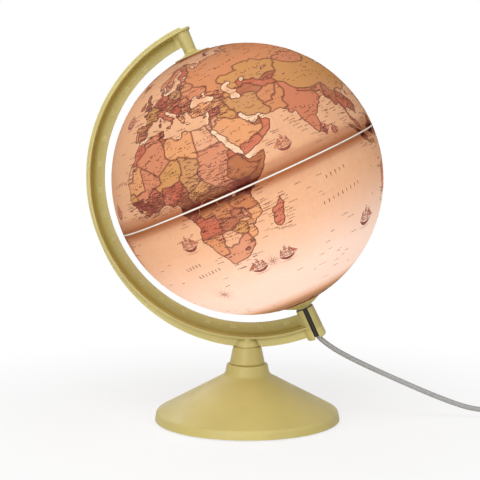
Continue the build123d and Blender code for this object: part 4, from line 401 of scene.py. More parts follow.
lands = [crinkle(line, COAST_WANDER) for line in runs(LANDS, close=True)]
lakes = [crinkle(line, COAST_WANDER) for line in runs(LAKES, close=True)]
borders = [crinkle(line, BORDER_WANDER) for line in runs(BORDERS)]
rivers = [crinkle(line, COAST_WANDER) for line in runs(RIVERS)]


def filled(shapes, lons, lats):
    """Even-odd fill of closed lines on a lattice of longitudes and latitudes."""
    hit = np.zeros((len(lats), len(lons)), bool)
    for shape in shapes:
        start, end = shape[:-1], shape[1:]
        rows = np.nonzero((lats > shape[:, 1].min()) & (lats < shape[:, 1].max()))[0]
        for row in rows:
            cut = (start[:, 1] > lats[row]) != (end[:, 1] > lats[row])
            a, b = start[cut], end[cut]
            cross = np.sort(a[:, 0] + (lats[row] - a[:, 1]) * (b[:, 0] - a[:, 0]) / (b[:, 1] - a[:, 1]))
            for turn in (-360, 0, 360):
                hit[row] ^= np.searchsorted(cross, lons + turn) % 2 == 1
    return hit


def dry(lons, lats):
    """Where a lattice of longitudes and latitudes is land."""
    return filled(lands, lons, lats) & ~filled(lakes, lons, lats)


def tree_of(lines):
    """Search tree over the points of some lines, on the ball."""
    spots = on_ball(*np.vstack(lines).T)
    tree = KDTree(len(spots))
    for index, spot in enumerate(spots):
        tree.insert(spot, index)
    tree.balance()
    return tree


def distances(tree, spots):
    """Distance in millimetres from each spot to the nearest point of a tree."""
    return np.array([tree.find(spot)[2] for spot in spots]) / MM


# Countries: a raster flooded from seeds, with the borders as walls
TINTS = {
    "salmon": (222, 146, 110), "tan": (236, 168, 118), "peach": (240, 180, 140), "ochre": (216, 157, 100),
    "olive": (211, 155, 104), "pink": (206, 116, 90), "red": (215, 126, 98), "mauve": (188, 116, 86),
    "brown": (186, 118, 80), "orange": (222, 150, 105), "sienna": (204, 132, 88), "rose": (198, 106, 82),
    "wine": (160, 80, 64), "coral": (217, 137, 104),
}
SEEDS = """
salmon 3,28 -3,18 30,15 24,-30 30,49 104,46.5 134,-25 16,62 -100,40 -54,-10
tan 17,27 -11,19 45,24 34,39 35,-18 38.5,-14 11.8,-0.7 -100,24 -65,-35
peach 29,26 23.5,-22.3 -13.5,24.5 36.3,31 -42,72
ochre 9,17 20.5,6.8 29.5,-19 67,48.5 100,35 2,47 43.5,33 -15,14.5 -100,60
olive 18,15 54,33 20,52 116,40
pink -1.5,12.4 32.3,1.5 38.5,15.8 64,41.5 38.5,35 101,15.5 10,51 25,62 -70,-12
red 47,-19 47,15.8 56.5,20.5 -6,32 15.5,0 12,43 -73,4
mauve 27.5,-14.5 12.5,5.5 59,39.5 -2,53 -8,53 74.5,41.5 96,21 9.3,34.5 102,-2 -66,7
brown 39.5,8.5 46,4 49,9.5 54.5,23.6 114,1 -71,-33 100,-80
sienna 35,-6 23,-3
rose 17.5,-12 14,46 20,44 8,9.5
coral 79,21
wine -1.2,8 -11,11 -5.5,7.5 38,0.5
orange 17,-22 -4,40 60,58 66,33.8 68.5,29.5 8.5,61 28,53.5 105,60 -110,52
"""
RASTER_STEP = 0.25
SPILL_CELLS = 6
BLUR_REACHES = (1, 2, 4, 8, 10)
raster_lons = np.arange(-180, 180, RASTER_STEP) + RASTER_STEP / 2
raster_lats = np.arange(-90, 90, RASTER_STEP) + RASTER_STEP / 2
land_cells = dry(raster_lons, raster_lats)


def cell(lon, lat):
    """Raster row and column of printed coordinates."""
    column = np.floor((np.asarray(lon) + 180) / RASTER_STEP).astype(int) % len(raster_lons)
    row = np.clip(np.floor((np.asarray(lat) + 90) / RASTER_STEP).astype(int), 0, len(raster_lats) - 1)
    return row, column


def nearness():
    """Share of land round every raster cell, from 0 far out at sea to 1 inland."""
    share = land_cells.astype(float)
    for reach in BLUR_REACHES:
        for axis in (0, 1):
            share = (np.roll(share, reach, axis) + 2 * share + np.roll(share, -reach, axis)) / 4
    return share


def countries():
    """Tint number of every raster cell, a little past the coasts, and where each country's name goes."""
    free = land_cells.copy()
    rows, columns = cell(*np.vstack(borders).T)
    for down, right in ((0, 0), (1, 0), (0, 1)):
        free[np.minimum(rows + down, len(raster_lats) - 1), (columns + right) % len(raster_lons)] = False
    owner = np.full(free.shape, -1)
    tints = list(TINTS)

    def flood(row, column, tint):
        heap = [(int(row), int(column))]
        area = 0
        while heap:
            row, column = heap.pop()
            column %= len(raster_lons)
            if 0 <= row < len(raster_lats) and free[row, column] and owner[row, column] < 0:
                owner[row, column] = tint
                area += math.cos(math.radians(raster_lats[row]))
                heap += [(row + 1, column), (row - 1, column), (row, column + 1), (row, column - 1)]
        return area * RASTER_STEP**2

    names = []
    for entry in SEEDS.strip().splitlines():
        tint, *places = entry.split()
        for place in places:
            lon, lat = printed(*map(float, place.split(",")))
            names.append((lon, lat, flood(*cell(lon, lat), tints.index(tint))))
    # Land that no seed reaches takes any tint
    for row, column in np.argwhere(free):
        if owner[row, column] < 0:
            flood(row, column, (row * 3 + column) % len(tints))
    for _ in range(SPILL_CELLS):
        for axis, shift in ((0, 1), (0, -1), (1, 1), (1, -1)):
            other = np.roll(owner, shift, axis)
            owner = np.where((owner < 0) & (other >= 0), other, owner)
    return owner, names


def linear(colour):
    """Scene-linear values of an 8-bit display colour."""
    value = np.asarray(colour, float) / 255
    return np.where(value <= 0.04045, value / 12.92, ((value + 0.055) / 1.055) ** 2.4)


# Shells of the ball: a lattice in degrees, finer on the side that faces the camera
FINE_STEP = 0.55
COARSE_STEP = 1.1
LATITUDE_STEP = 0.6
FRONT_HALF_WIDTH = 95.0
INNER_ROWS = 16
front_count = round(2 * FRONT_HALF_WIDTH / FINE_STEP)
back_count = round((360 - 2 * FRONT_HALF_WIDTH) / COARSE_STEP)
lon_offsets = np.concatenate([
    np.linspace(-FRONT_HALF_WIDTH, FRONT_HALF_WIDTH, front_count, endpoint=False),
    np.linspace(FRONT_HALF_WIDTH, 360 - FRONT_HALF_WIDTH, back_count, endpoint=False),
])
ball_lons = (FACING_MERIDIAN + lon_offsets + 180) % 360 - 180
tint_of_cell, country_names = countries()
near_land = nearness()
tint_table = np.array([linear(colour) for colour in TINTS.values()])
coast_tree = tree_of(lands + lakes)
border_tree = tree_of(borders)

# Degrees between the printed grid lines, and distances in millimetres that count as off the line
GRID_STEP = 15
FAR = 30
OFF_GRID = 9
# Lamp light that the shell lets through, and the shadows of poles and joint, by latitude
GLOW = (
    (-72, 0), (-69, 0.02), (-66, 0.12), (-63, 0.37), (-60, 0.49), (-57, 0.59), (-42, 0.57), (-25, 0.40),
    (-10, 0.22), (10, 0.11), (25, 0.10), (40, 0.14), (54, 0.17), (60, 0.11), (66, 0.05), (74, 0),
)
SHADOW = (
    (-75, 0), (-72, 0.2), (-69, 0.3), (-66, 0), (-8, 0), (-6.5, 0.06), (-5, 0.16), (-3.8, 0.28), (-3, 0.62),
    (-2.1, 0.82), (-1.2, 1.0), (1.2, 0.98), (2.1, 0.8), (3, 0.62), (3.8, 0.57), (4.7, 0.48), (5.9, 0.14),
    (7.5, 0), (73, 0), (75, 0.2), (78, 0.9),
)
INNER_GLOW = 0.3
SHARP_EDGE = math.radians(40)


def map_shell(name, node, low_lat, high_lat):
    """Half of the ball: a printed outer face, a plain inner face and closed rims."""
    lats = np.linspace(low_lat, high_lat, round((high_lat - low_lat) / LATITUDE_STEP) + 1)
    inner_lats = np.linspace(high_lat, low_lat, INNER_ROWS)
    columns = len(ball_lons)
    lon_grid, lat_grid = (grid.ravel() for grid in np.meshgrid(ball_lons, lats))
    spots = on_ball(lon_grid, lat_grid)
    inner = on_ball(*(grid.ravel() for grid in np.meshgrid(ball_lons, inner_lats)), BALL_INNER_RADIUS)
    rows = len(lats) + len(inner_lats)
    here = np.arange(rows)[:, None] * columns + np.arange(columns)[None, :]
    above = np.roll(here, -1, 0)
    quads = np.stack([here, np.roll(here, -1, 1), np.roll(above, -1, 1), above], -1).reshape(-1, 4)
    mesh = bpy.data.meshes.new(name)
    mesh.from_pydata(np.vstack([spots, inner]).tolist(), [], quads.tolist())
    mesh.polygons.foreach_set("use_smooth", np.ones(len(quads), bool))
    coast = distances(coast_tree, spots) * np.where(dry(ball_lons, lats).ravel(), 1, -1)
    border = np.minimum(distances(border_tree, spots), FAR)
    cells = cell(lon_grid, lat_grid)
    owner = tint_of_cell[cells]
    waves = 180 / GRID_STEP
    meridian = np.sin(np.radians(waves * lon_grid)) / waves * BALL_RADIUS / MM * np.cos(np.radians(lat_grid))
    parallel = np.sin(np.radians(waves * lat_grid)) / waves * BALL_RADIUS / MM
    for label, values, inside in (
        ("coast", coast, -FAR), ("border", border, FAR), ("meridian", meridian, OFF_GRID),
        ("parallel", parallel, OFF_GRID), ("near_land", near_land[cells], 0),
        ("glow", np.interp(lat_grid, *np.transpose(GLOW)), INNER_GLOW),
        ("shadow", np.interp(lat_grid, *np.transpose(SHADOW)), 0),
    ):
        layer = mesh.attributes.new(label, "FLOAT", "POINT")
        values = np.concatenate([values, np.full(len(inner), inside)])
        layer.data.foreach_set("value", values.astype(np.float32))
    layer = mesh.attributes.new("tint", "FLOAT_COLOR", "POINT")
    colours = np.ones((len(spots) + len(inner), 4), np.float32)
    colours[: len(spots), :3] = np.where(owner[:, None] >= 0, tint_table[owner], tint_table[0])
    layer.data.foreach_set("color", colours.ravel())
    mesh.set_sharp_from_angle(angle=SHARP_EDGE)
    shell = link(name, mesh)
    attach(shell, "globe")
    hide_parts(node)
    return shell


north_limit = math.degrees(math.acos(NORTH_HOLE_RADIUS / BALL_RADIUS))
south_limit = math.degrees(math.acos(SOUTH_HOLE_RADIUS / BALL_RADIUS))
north_shell = map_shell("north_map", "north_hemisphere", 0.0, north_limit)
south_shell = map_shell("south_map", "south_hemisphere", -south_limit, 0.0)


def turned_out(name, points, faces, tones=(), weld=0.0):
    """New object of closed forms, every face turned outward."""
    mesh = bpy.data.meshes.new(name)
    mesh.from_pydata(points, [], faces)
    if tones:
        mesh.polygons.foreach_set("material_index", tones)
    shape = bmesh.new()
    shape.from_mesh(mesh)
    if weld:
        bmesh.ops.remove_doubles(shape, verts=shape.verts, dist=weld)
    bmesh.ops.recalc_face_normals(shape, faces=shape.faces)
    shape.to_mesh(mesh)
    shape.free()
    return link(name, mesh)


# Ink: thin closed strips that lie a hair proud of the ball
INK_RISE = 0.05 * MM
INK_ROOT = 0.12 * MM
DEGREES_PER_MM = math.degrees(MM / BALL_RADIUS)
FINE, FAINT, RUSSET = 0, 1, 2


class Drawing:
    """Strips of ink on the ball, each between a left and a right edge of printed coordinates."""

    def __init__(self):
        self.points, self.faces, self.tones = [], [], []

    def strip(self, left, right, tone):
        first, count = len(self.points), len(left)
        rise = INK_RISE * (1 if tone == FAINT else 2)
        for radius in (BALL_RADIUS + rise, BALL_RADIUS - INK_ROOT):
            for edge in (left, right):
                self.points += on_ball(edge[:, 0], edge[:, 1], radius).tolist()
        top, top_right, low, low_right = (first + count * k + np.arange(count) for k in range(4))
        for near, far in ((top, top_right), (low_right, low), (low, top), (top_right, low_right)):
            self.faces += np.stack([near[:-1], far[:-1], far[1:], near[1:]], 1).tolist()
        for end in (0, -1):
            self.faces.append([int(edge[end]) for edge in (top, low, low_right, top_right)])
        self.tones += [tone] * (4 * count - 2)

    def stroke(self, line, width, tone=FINE, point=1.0):
        """Line of a width in millimetres that narrows to a share of it at the end."""
        squash = np.stack([np.cos(np.radians(line[:, 1])), np.ones(len(line))], 1)
        way = np.gradient(line, axis=0) * squash
        side = np.stack([-way[:, 1], way[:, 0]], 1) / np.hypot(way[:, 0], way[:, 1])[:, None] / squash
        side *= width / 2 * DEGREES_PER_MM * np.linspace(1, point, len(line))[:, None]
        self.strip(line + side, line - side, tone)


def placed(lon, lat, unit, points, turn=0.0):
    """Printed coordinates of a small drawing's own points, its unit given in millimetres."""
    points = np.asarray(points, float) * unit * DEGREES_PER_MM
    cos, sin = math.cos(math.radians(turn)), math.sin(math.radians(turn))
    points = points @ np.array([[cos, sin], [-sin, cos]])
    return np.stack([lon + points[:, 0] / math.cos(math.radians(lat)), lat + points[:, 1]], 1)


def between(start, end, steps=3):
    return np.linspace(start, end, steps + 1)


ink = Drawing()

# Sailing ships, in units of half the hull's length
LINE_WIDTH = 0.3
THIN_LINE = LINE_WIDTH * 0.7
HAIR_LINE = LINE_WIDTH * 0.5
HULL_STEPS = np.linspace(-1, 1, 9)
DECK_HEIGHT, DECK_SHEER, STERN_LIFT, HULL_DEPTH = 0.06, 0.24, 1.5, 0.3
MASTS = ((-0.58, 1.35), (-0.02, 1.8), (0.5, 1.42))
MAST_FOOT, MAST_RAKE = 0.1, 0.06
PENNANT = (((0, 0), (0.26, 0.04)), ((0, -0.1), (0.26, 0.02)))
# Lower and upper edge of each sail and half its width there, for masts of the heights that follow
SAILS = ((0.22, 0.58, 0.31, 0.27), (0.62, 0.92, 0.25, 0.2), (0.95, 1.15, 0.17, 0.13))
SAIL_RISE_MAST, SAIL_WIDTH_MAST = 1.3, 1.5
SAIL_BELLY = 0.08
SAIL_SEAMS = (0.25, 0.45, 0.65)
BOWSPRIT = ((0.92, 0.26), (1.42, 0.56))
JIB = (((0.5, 1.3), (1.36, 0.54)), ((0.56, 1.1), (0.8, 0.42)))
STAYS = (((0.46, 1.34), (1.4, 0.55)), ((-0.6, 1.28), (-1.0, 0.36)))
# Depth and half length of each row of waves
WAVES = ((-0.42, 1.15), (-0.52, 0.8), (-0.6, 0.45))
WAVE_HEIGHT, WAVE_RATE = 0.025, 9


def ship(lon, lat, unit, heading):
    """Hull, masts with square sails and pennants, bowsprit with a jib, stays and waves."""

    def at(points):
        points = np.array(points, float)
        return placed(lon, lat, unit, points * (heading, 1))

    deck = DECK_HEIGHT + DECK_SHEER * HULL_STEPS**2 * np.where(HULL_STEPS < 0, STERN_LIFT, 1)
    keel = deck - DECK_HEIGHT - HULL_DEPTH * (1 - np.abs(HULL_STEPS) ** 3)
    ink.strip(at(np.stack([HULL_STEPS, deck], 1)), at(np.stack([HULL_STEPS, keel], 1)), RUSSET)
    for foot, height in MASTS:
        tip = foot - MAST_RAKE
        ink.stroke(at(between((foot, MAST_FOOT), (tip, height), 5)), LINE_WIDTH, RUSSET)
        ink.strip(*(at(np.array(edge) + (tip, height)) for edge in PENNANT), RUSSET)
        for low, high, low_half, high_half in SAILS:
            share = np.linspace(0, 1, 5)
            rise = (low + (high - low) * share) * height / SAIL_RISE_MAST
            half = (low_half + (high_half - low_half) * share) * height / SAIL_WIDTH_MAST
            belly = foot - MAST_RAKE / 2 + SAIL_BELLY * np.sin(math.pi * share)
            left, right = (at(np.stack([belly + side * half, rise], 1)) for side in (-1, 1))
            for edge in (left, right, np.array([left[0], right[0]]), np.array([left[-1], right[-1]])):
                ink.stroke(edge, LINE_WIDTH, RUSSET)
            for seam in SAIL_SEAMS:
                ink.stroke(left + seam * (right - left), LINE_WIDTH, FAINT)
    ink.stroke(at(between(*BOWSPRIT)), LINE_WIDTH, RUSSET)
    ink.strip(*(at(between(*edge)) for edge in JIB), FAINT)
    for stay in STAYS:
        ink.stroke(at(between(*stay, 5)), THIN_LINE, RUSSET)
    for depth, reach in WAVES:
        x = np.linspace(-reach, reach, 9)
        ink.stroke(at(np.stack([x, depth + WAVE_HEIGHT * np.sin(WAVE_RATE * x)], 1)), THIN_LINE, FAINT)


# Degrees east of the front, latitude, unit in millimetres and heading of each ship
SHIPS = """
-32.8,-14.4,7.6,1 -10.0,-34.4,7.4,-1 3.9,-33.8,7.2,1 19.9,7.4,7.2,-1 39.6,6.8,5.0,1 44.3,4.9,4.2,1
52.6,-36.0,9.0,1 -69.8,7.5,7.4,1 -54.4,43.0,7.0,1 120,25,7.6,-1 150,-28,7.8,1 -150,8,7.6,1
-120,-32,7.6,-1 -95,-14,7.2,1 175,35,7.4,-1
"""
for entry in SHIPS.split():
    east_of_front, lat, unit, heading = map(float, entry.split(","))
    ship(FACING_MERIDIAN + east_of_front, lat, unit, heading)

# Compass roses: two rings, eight points and long rays
ROSE_RINGS = (0.98, 0.6)
ROSE_RAYS = 16
LONG_TIP, SHORT_TIP = 1.3, 0.95
POINT_ALONG = (0.05, 0.3)
POINT_ACROSS = np.array([0.02, 0.12, 0.02])
# Degrees east of the front, latitude, unit in millimetres and reach of the rays of each rose
ROSES = ((-3.4, -32.6, 4.4, 1.9), (-37.0, -40.0, 5.0, 2.4), (165.0, 2.0, 6.0, 3.0))


def rose(lon, lat, unit, ray):
    turn = np.radians(np.linspace(0, 360, 33))
    ring = np.stack([np.cos(turn), np.sin(turn)], 1)
    for radius in ROSE_RINGS:
        ink.stroke(placed(lon, lat, unit, radius * ring), THIN_LINE, FAINT)
    for step in range(ROSE_RAYS):
        angle = math.tau * step / ROSE_RAYS
        out = np.array([math.cos(angle), math.sin(angle)])
        side = np.array([-math.sin(angle), math.cos(angle)])
        if step % 2 == 0:
            spine = np.array([*POINT_ALONG, SHORT_TIP if step % 4 else LONG_TIP])[:, None] * out
            across = POINT_ACROSS[:, None] * side
            ink.strip(placed(lon, lat, unit, spine + across), placed(lon, lat, unit, spine), RUSSET)
        ink.stroke(placed(lon, lat, unit, between(1.0 * out, ray * out, 4)), HAIR_LINE, FAINT)


for east_of_front, *rest in ROSES:
    rose(FACING_MERIDIAN + east_of_front, *rest)

# Rivers, coasts and borders, left off round the poles and inked by every third point
MAP_LINE = 0.42
RIVER_POINT = 0.5
COAST_LIMIT = 78.0
INK_EVERY = 3
for river in rivers:
    ink.stroke(river, MAP_LINE, FAINT, RIVER_POINT)
for line in lands + lakes + borders:
    drawn = np.abs(line[:, 1]) < COAST_LIMIT
    for part in np.split(line, np.nonzero(np.diff(drawn))[0] + 1):
        if abs(part[0, 1]) < COAST_LIMIT and len(part) > 4:
            ink.stroke(np.vstack([part[:-1:INK_EVERY], part[-1:]]), MAP_LINE, FINE)

# Captions: broken dashes and rows of upright ticks where the map has its names, with no letters
DASH_LENGTHS, DASH_SWELL, DASH_GAP = (0.5, 1.5), (0.7, 1.2), 0.45
TICK_LEAN, TICK_SWELL, TICK_WIDTH, WIDTH_PER_HEIGHT = 0.2, (0.8, 1.3), 0.3, 0.1
BAR_ODDS, BAR_HEIGHTS, BAR_LEFT, BAR_RIGHT = 0.6, [-0.4, 0.05, 0.4], 0.1, 0.35


def dashes(lon, lat, length, tall):
    run = -length / 2
    while run < length / 2:
        dash = chance.uniform(*DASH_LENGTHS)
        ink.stroke(placed(lon, lat, 1, [(run, 0), (run + dash, 0)]), tall * chance.uniform(*DASH_SWELL))
        run += dash + DASH_GAP


def ticks(lon, lat, count, spacing, tall, turn):
    for index in range(count):
        x = (index - (count - 1) / 2) * spacing
        lean = chance.uniform(-TICK_LEAN, TICK_LEAN)
        mark = placed(lon, lat, 1, [(x - lean, -tall / 2), (x + lean, tall / 2)], turn)
        ink.stroke(mark, (TICK_WIDTH + WIDTH_PER_HEIGHT * tall) * chance.uniform(*TICK_SWELL))
        if chance.uniform() < BAR_ODDS:
            height = tall * chance.choice(BAR_HEIGHTS)
            ends = [(x - BAR_LEFT * tall, height), (x + BAR_RIGHT * tall, height)]
            ink.stroke(placed(lon, lat, 1, ends, turn), TICK_WIDTH)


# Names of countries, by their areas in square degrees, clear of the equator's tape
SMALLEST_NAMED, TAPE_MARGIN = 8, 4
NAME_TICKS, NAME_SLANT = 6, 20
NAME_SPACING, WIDEST_SPACING = 0.42, 4.5
LOWEST_NAME, TALLEST_NAME, AREA_PER_MM = 0.9, 2.0, 180
for lon, lat, area in country_names:
    if area > SMALLEST_NAMED and abs(lat) > TAPE_MARGIN:
        spacing = min(NAME_SPACING * math.sqrt(area), WIDEST_SPACING)
        tall = min(LOWEST_NAME + area / AREA_PER_MM, TALLEST_NAME)
        ticks(lon, lat, NAME_TICKS, spacing, tall, chance.uniform(-NAME_SLANT, NAME_SLANT))
# Degrees east of the front, latitude, number of ticks and their spacing for each sea's name
SEA_NAMES = """
-38,-22,5,4.0 -33,-27,7,4.0 36,-9,5,5.5 37,-18,9,5.5 -62,20,6,4.0 120,0,8,6.0 125,-8,8,6.0
-120,-10,8,6.0 -110,35,7,5.0
"""
SEA_NAME_HEIGHT, SEA_NAME_SLANT = 3.2, 4.0
for entry in SEA_NAMES.split():
    east_of_front, lat, count, spacing = map(float, entry.split(","))
    ticks(FACING_MERIDIAN + east_of_front, lat, int(count), spacing, SEA_NAME_HEIGHT, SEA_NAME_SLANT)
# Tries, longitudes, sines of latitude and odds at sea for small captions, the world first
CAPTION_TRIES = (
    (8000, -180, 180, -0.94, 0.96, 0.6), (800, -4, 25, 0.5, 0.84, 0.0), (400, 25, 45, 0.5, 0.68, 0.0),
    (350, -18, 16, 0.04, 0.2, 0.3), (420, 10, 42, -0.27, 0.1, 0.0), (220, -10, 38, 0.07, 0.42, 0.0),
    (160, 18, 36, 0.04, 0.22, 0.0), (220, 41, 68, -0.36, -0.03, 0.5), (40, 80, 95, 0.08, 0.33, 0.6),
    (280, 42, 86, -0.8, -0.58, 1.0),
)
INLAND, DEEP_INLAND, FAR_OUT = 0.8, 0.3, 0.06
ALL_LAND, ALL_SEA, THINNED_AT = 0.97, 0.03, 0.5
CAPTION_MARGIN, CAPTION_SOUTH_END = 1.2, -62
SHORTEST_CAPTION, LONGEST_INLAND, LONGEST_AT_SEA = 1.5, 4.5, 8.0
INLAND_HEIGHT, SEA_HEIGHT = 0.58, 0.5
for tries, west_end, east_end, low, high, offshore in CAPTION_TRIES:
    for lon, height, luck in chance.uniform((west_end, low, 0), (east_end, high, 1), (tries, 3)):
        lat = math.degrees(math.asin(height))
        row, column = cell(lon, lat)
        inland, near = land_cells[row, column], near_land[row, column]
        if inland:
            odds = DEEP_INLAND if near > ALL_LAND and offshore > THINNED_AT else INLAND
            longest, tall = LONGEST_INLAND, INLAND_HEIGHT
        else:
            odds = offshore * (1 if near > ALL_SEA else FAR_OUT)
            longest, tall = LONGEST_AT_SEA, SEA_HEIGHT
        if luck < odds and abs(lat) > CAPTION_MARGIN and lat > CAPTION_SOUTH_END:
            dashes(lon, lat, chance.uniform(SHORTEST_CAPTION, longest), tall)
map_ink = turned_out("map_ink", ink.points, ink.faces, ink.tones)
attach(map_ink, "globe")

# Degree marks: numerals and ticks raised on both faces of the arm's web
ARM_SHIFT = 3.6 * MM
WEB_HALF_THICKNESS = 1.5 * MM
MARK_RADIUS = 144.6 * MM
MARK_RISE = 0.55 * MM
MARK_ROOT = 0.25 * MM
MARK_WELD = 0.001 * MM
NUMERAL_SIZE = 5.6 * MM
NUMERAL_WEIGHT = 0.08 * MM
TICK = (0.5 * MM, 2.0 * MM)
TICK_STEP, NUMERAL_STEP = 5, 10
LAST_NUMERAL = {1: 70, -1: 80}


def numeral(text):
    """Corner places and faces of a raised number, lying flat round its own centre."""
    letters = bpy.data.curves.new("numeral", "FONT")
    letters.body = text
    letters.size = NUMERAL_SIZE
    letters.offset = NUMERAL_WEIGHT
    letters.extrude = (MARK_RISE + MARK_ROOT) / 2
    letters.resolution_u = 4
    letters.align_x = "CENTER"
    letters.align_y = "CENTER"
    holder = bpy.data.objects.new("numeral", letters)
    solid = bpy.data.meshes.new_from_object(holder)
    corners = np.array([corner.co for corner in solid.vertices])
    faces = [list(face.vertices) for face in solid.polygons]
    bpy.data.objects.remove(holder)
    bpy.data.curves.remove(letters)
    bpy.data.meshes.remove(solid)
    corners[:, :2] -= (corners[:, :2].min(0) + corners[:, :2].max(0)) / 2
    return corners, faces


def tick():
    """Corner places and faces of a raised bar."""
    half = np.array([*TICK, MARK_RISE + MARK_ROOT]) / 2
    corners = np.array([[x, y, z] for x in (-1, 1) for y in (-1, 1) for z in (-1, 1)]) * half
    faces = [[0, 1, 3, 2], [4, 6, 7, 5], [0, 4, 5, 1], [2, 3, 7, 6], [0, 2, 6, 4], [1, 5, 7, 3]]
    return corners, faces


def degree_marks():
    """Corner places and faces of all the marks, from the north half to the south half."""
    corners, faces = [], []
    for half in (1, -1):
        for degrees in range(0 if half < 0 else TICK_STEP, LAST_NUMERAL[half] + 1, TICK_STEP):
            flat, outline = tick() if degrees % NUMERAL_STEP else numeral(str(degrees))
            lat = math.radians(half * degrees)
            lat -= math.asin(ARM_SHIFT * math.sin(lat) * math.cos(lat) / MARK_RADIUS)
            inward = math.cos(lat) * EAST - math.sin(lat) * NORTH
            along = -math.sin(lat) * EAST - math.cos(lat) * NORTH
            for side in (1, -1):
                out = side * FRONT
                middle = BALL_CENTRE + ARM_SHIFT * EAST - MARK_RADIUS * inward
                middle = middle + out * (WEB_HALF_THICKNESS + (MARK_RISE - MARK_ROOT) / 2)
                first = len(corners)
                corners += (middle + flat @ np.array([side * along, inward, out])).tolist()
                faces += [[first + index for index in face] for face in outline]
    return corners, faces


marks = turned_out("degree_marks", *degree_marks(), weld=MARK_WELD)
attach(marks, "stand")


# Materials: scales of the noises per metre, depths in metres, colours as 8-bit display values
CLOUD_SCALE = 22.0
GLOSS_SCALE = 60.0
NOISE_SPAN = (0.3, 0.7)
GRAIN_SCALE = 900.0
GRAIN_DEPTH = 0.008 * MM
GRAIN_STRENGTH = 0.25


class Surface:
    """A node material with helpers for its procedural detail."""

    def __init__(self, name, roughness=0.5, metallic=0.0):
        self.material = bpy.data.materials.new(name)
        self.material.use_nodes = True
        self.tree = self.material.node_tree
        self.shader = self.tree.nodes["Principled BSDF"]
        self.set("Roughness", roughness)
        self.set("Metallic", metallic)
        self.place = self.node("ShaderNodeTexCoord").outputs["Object"]

    def node(self, kind, **settings):
        made = self.tree.nodes.new(kind)
        for key, value in settings.items():
            setattr(made, key, value)
        return made

    def feed(self, socket, value):
        if isinstance(value, bpy.types.NodeSocket):
            self.tree.links.new(value, socket)
        else:
            socket.default_value = value

    def set(self, label, value):
        self.feed(self.shader.inputs[label], value)

    def attribute(self, label, output="Fac"):
        return self.node("ShaderNodeAttribute", attribute_name=label).outputs[output]

    def maths(self, operation, *values):
        made = self.node("ShaderNodeMath", operation=operation)
        for socket, value in zip(made.inputs, values):
            self.feed(socket, value)
        return made.outputs[0]

    def vector(self, operation, *values):
        made = self.node("ShaderNodeVectorMath", operation=operation)
        for socket, value in zip(made.inputs, values):
            self.feed(socket, value)
        return made.outputs["Value" if operation in ("LENGTH", "DOT_PRODUCT") else "Vector"]

    def ramp(self, value, low, high, at_low=0.0, at_high=1.0):
        made = self.node("ShaderNodeMapRange", interpolation_type="SMOOTHSTEP")
        for socket, given in zip(made.inputs, (value, low, high, at_low, at_high)):
            self.feed(socket, given)
        return made.outputs[0]

    def mix(self, factor, first, second, blend="MIX"):
        made = self.node("ShaderNodeMix", data_type="RGBA", blend_type=blend)
        self.feed(made.inputs["Factor"], factor)
        for socket, value in ((made.inputs[6], first), (made.inputs[7], second)):
            self.feed(socket, value if isinstance(value, bpy.types.NodeSocket) else (*linear(value), 1))
        return made.outputs[2]

    def noise(self, scale, detail=4.0, rough=0.55):
        made = self.node("ShaderNodeTexNoise")
        self.feed(made.inputs["Vector"], self.place)
        made.inputs["Scale"].default_value = scale
        made.inputs["Detail"].default_value = detail
        made.inputs["Roughness"].default_value = rough
        return made.outputs[0]

    def bump(self, height, strength, distance):
        made = self.node("ShaderNodeBump")
        made.inputs["Strength"].default_value = strength
        made.inputs["Distance"].default_value = distance
        self.feed(made.inputs["Height"], height)
        self.set("Normal", made.outputs[0])

    def clouds(self, dark, light, scale=CLOUD_SCALE):
        """Colour that wavers between two tones."""
        return self.mix(self.ramp(self.noise(scale), *NOISE_SPAN), dark, light)

    def gloss(self, low, high, pattern=None):
        """Roughness that wavers between two values."""
        self.set("Roughness", self.ramp(pattern or self.noise(GLOSS_SCALE), *NOISE_SPAN, low, high))

    def grain(self, scale=GRAIN_SCALE):
        """Fine even roughness to the touch."""
        self.bump(self.noise(scale, 3.0), GRAIN_STRENGTH, GRAIN_DEPTH)


def moulded(name, colour, low_rough, high_rough, grain=GRAIN_SCALE, shade=0.86, metallic=0.0):
    """Moulded or metal surface: cloudy tone, uneven gloss and a fine grain."""
    surface = Surface(name, metallic=metallic)
    surface.set("Base Color", surface.clouds(tuple(shade * value for value in colour), colour))
    surface.gloss(low_rough, high_rough)
    surface.grain(grain)
    return surface.material


# Printed map: noises (scale, detail, roughness) and ramps (from, to, value before, value after)
STAIN_NOISE, FIBRE_NOISE, RAGGED_NOISE = (26.0, 6.0, 0.6), (420.0, 5.0, 0.7), (700.0, 3.0)
RAGGED_COAST = (0.2, 0.8, -0.18, 0.18)
COAST_STEP = (-0.12, 0.12)
SHUT_IN = (0.48, 0.72)
STAINED_LAND = (0.35, 0.7, 0.0, 0.22)
BORDER_BAND = (0.6, 1.5, 0.5, 0.0)
COAST_BAND = (0.2, 1.4, 0.5, 0.0)
COAST_LINE = (0.1, 0.5, 0.5, 0.0)
GRID_LINE = (0.08, 0.22, 0.2, 0.0)
FIBRE_MARKS = (0.35, 0.75, 0.0, 0.12)
PALE_MARKS = (0.45, 0.75, 0.0, 0.12)
SHADOW_POWER = (*COAST_STEP, 1.0, 2.0)
# Painted light: where the lamp's glow is strong, and most over the sea, the emitted colour is washed out
# towards cream
GLOW_WASHOUT = (0.2, 0.62, 0.0, 0.92)
SEA_WASHOUT = (-0.5, 0.3, 1.0, 0.2)
OPEN_SEA, SHUT_IN_SEA = (240, 184, 144), (252, 214, 180)
LAND_STAIN, BAND_BROWN, LINE_BROWN = (196, 118, 80), (140, 80, 64), (96, 48, 38)
GRID_BROWN, FIBRE_BROWN, PALE_STAIN = (150, 96, 70), (170, 100, 66), (255, 226, 196)
SEA_SHADE, LAND_SHADE = (184, 147, 126), (106, 70, 66)
# Dimming of the printed colour, and the cream to which the painted glow washes it out
PRINT_DIMMING, GLOW_CREAM = (226, 225, 224), (246, 238, 234)
PRINT_ROUGHNESS = (0.45, 0.6)
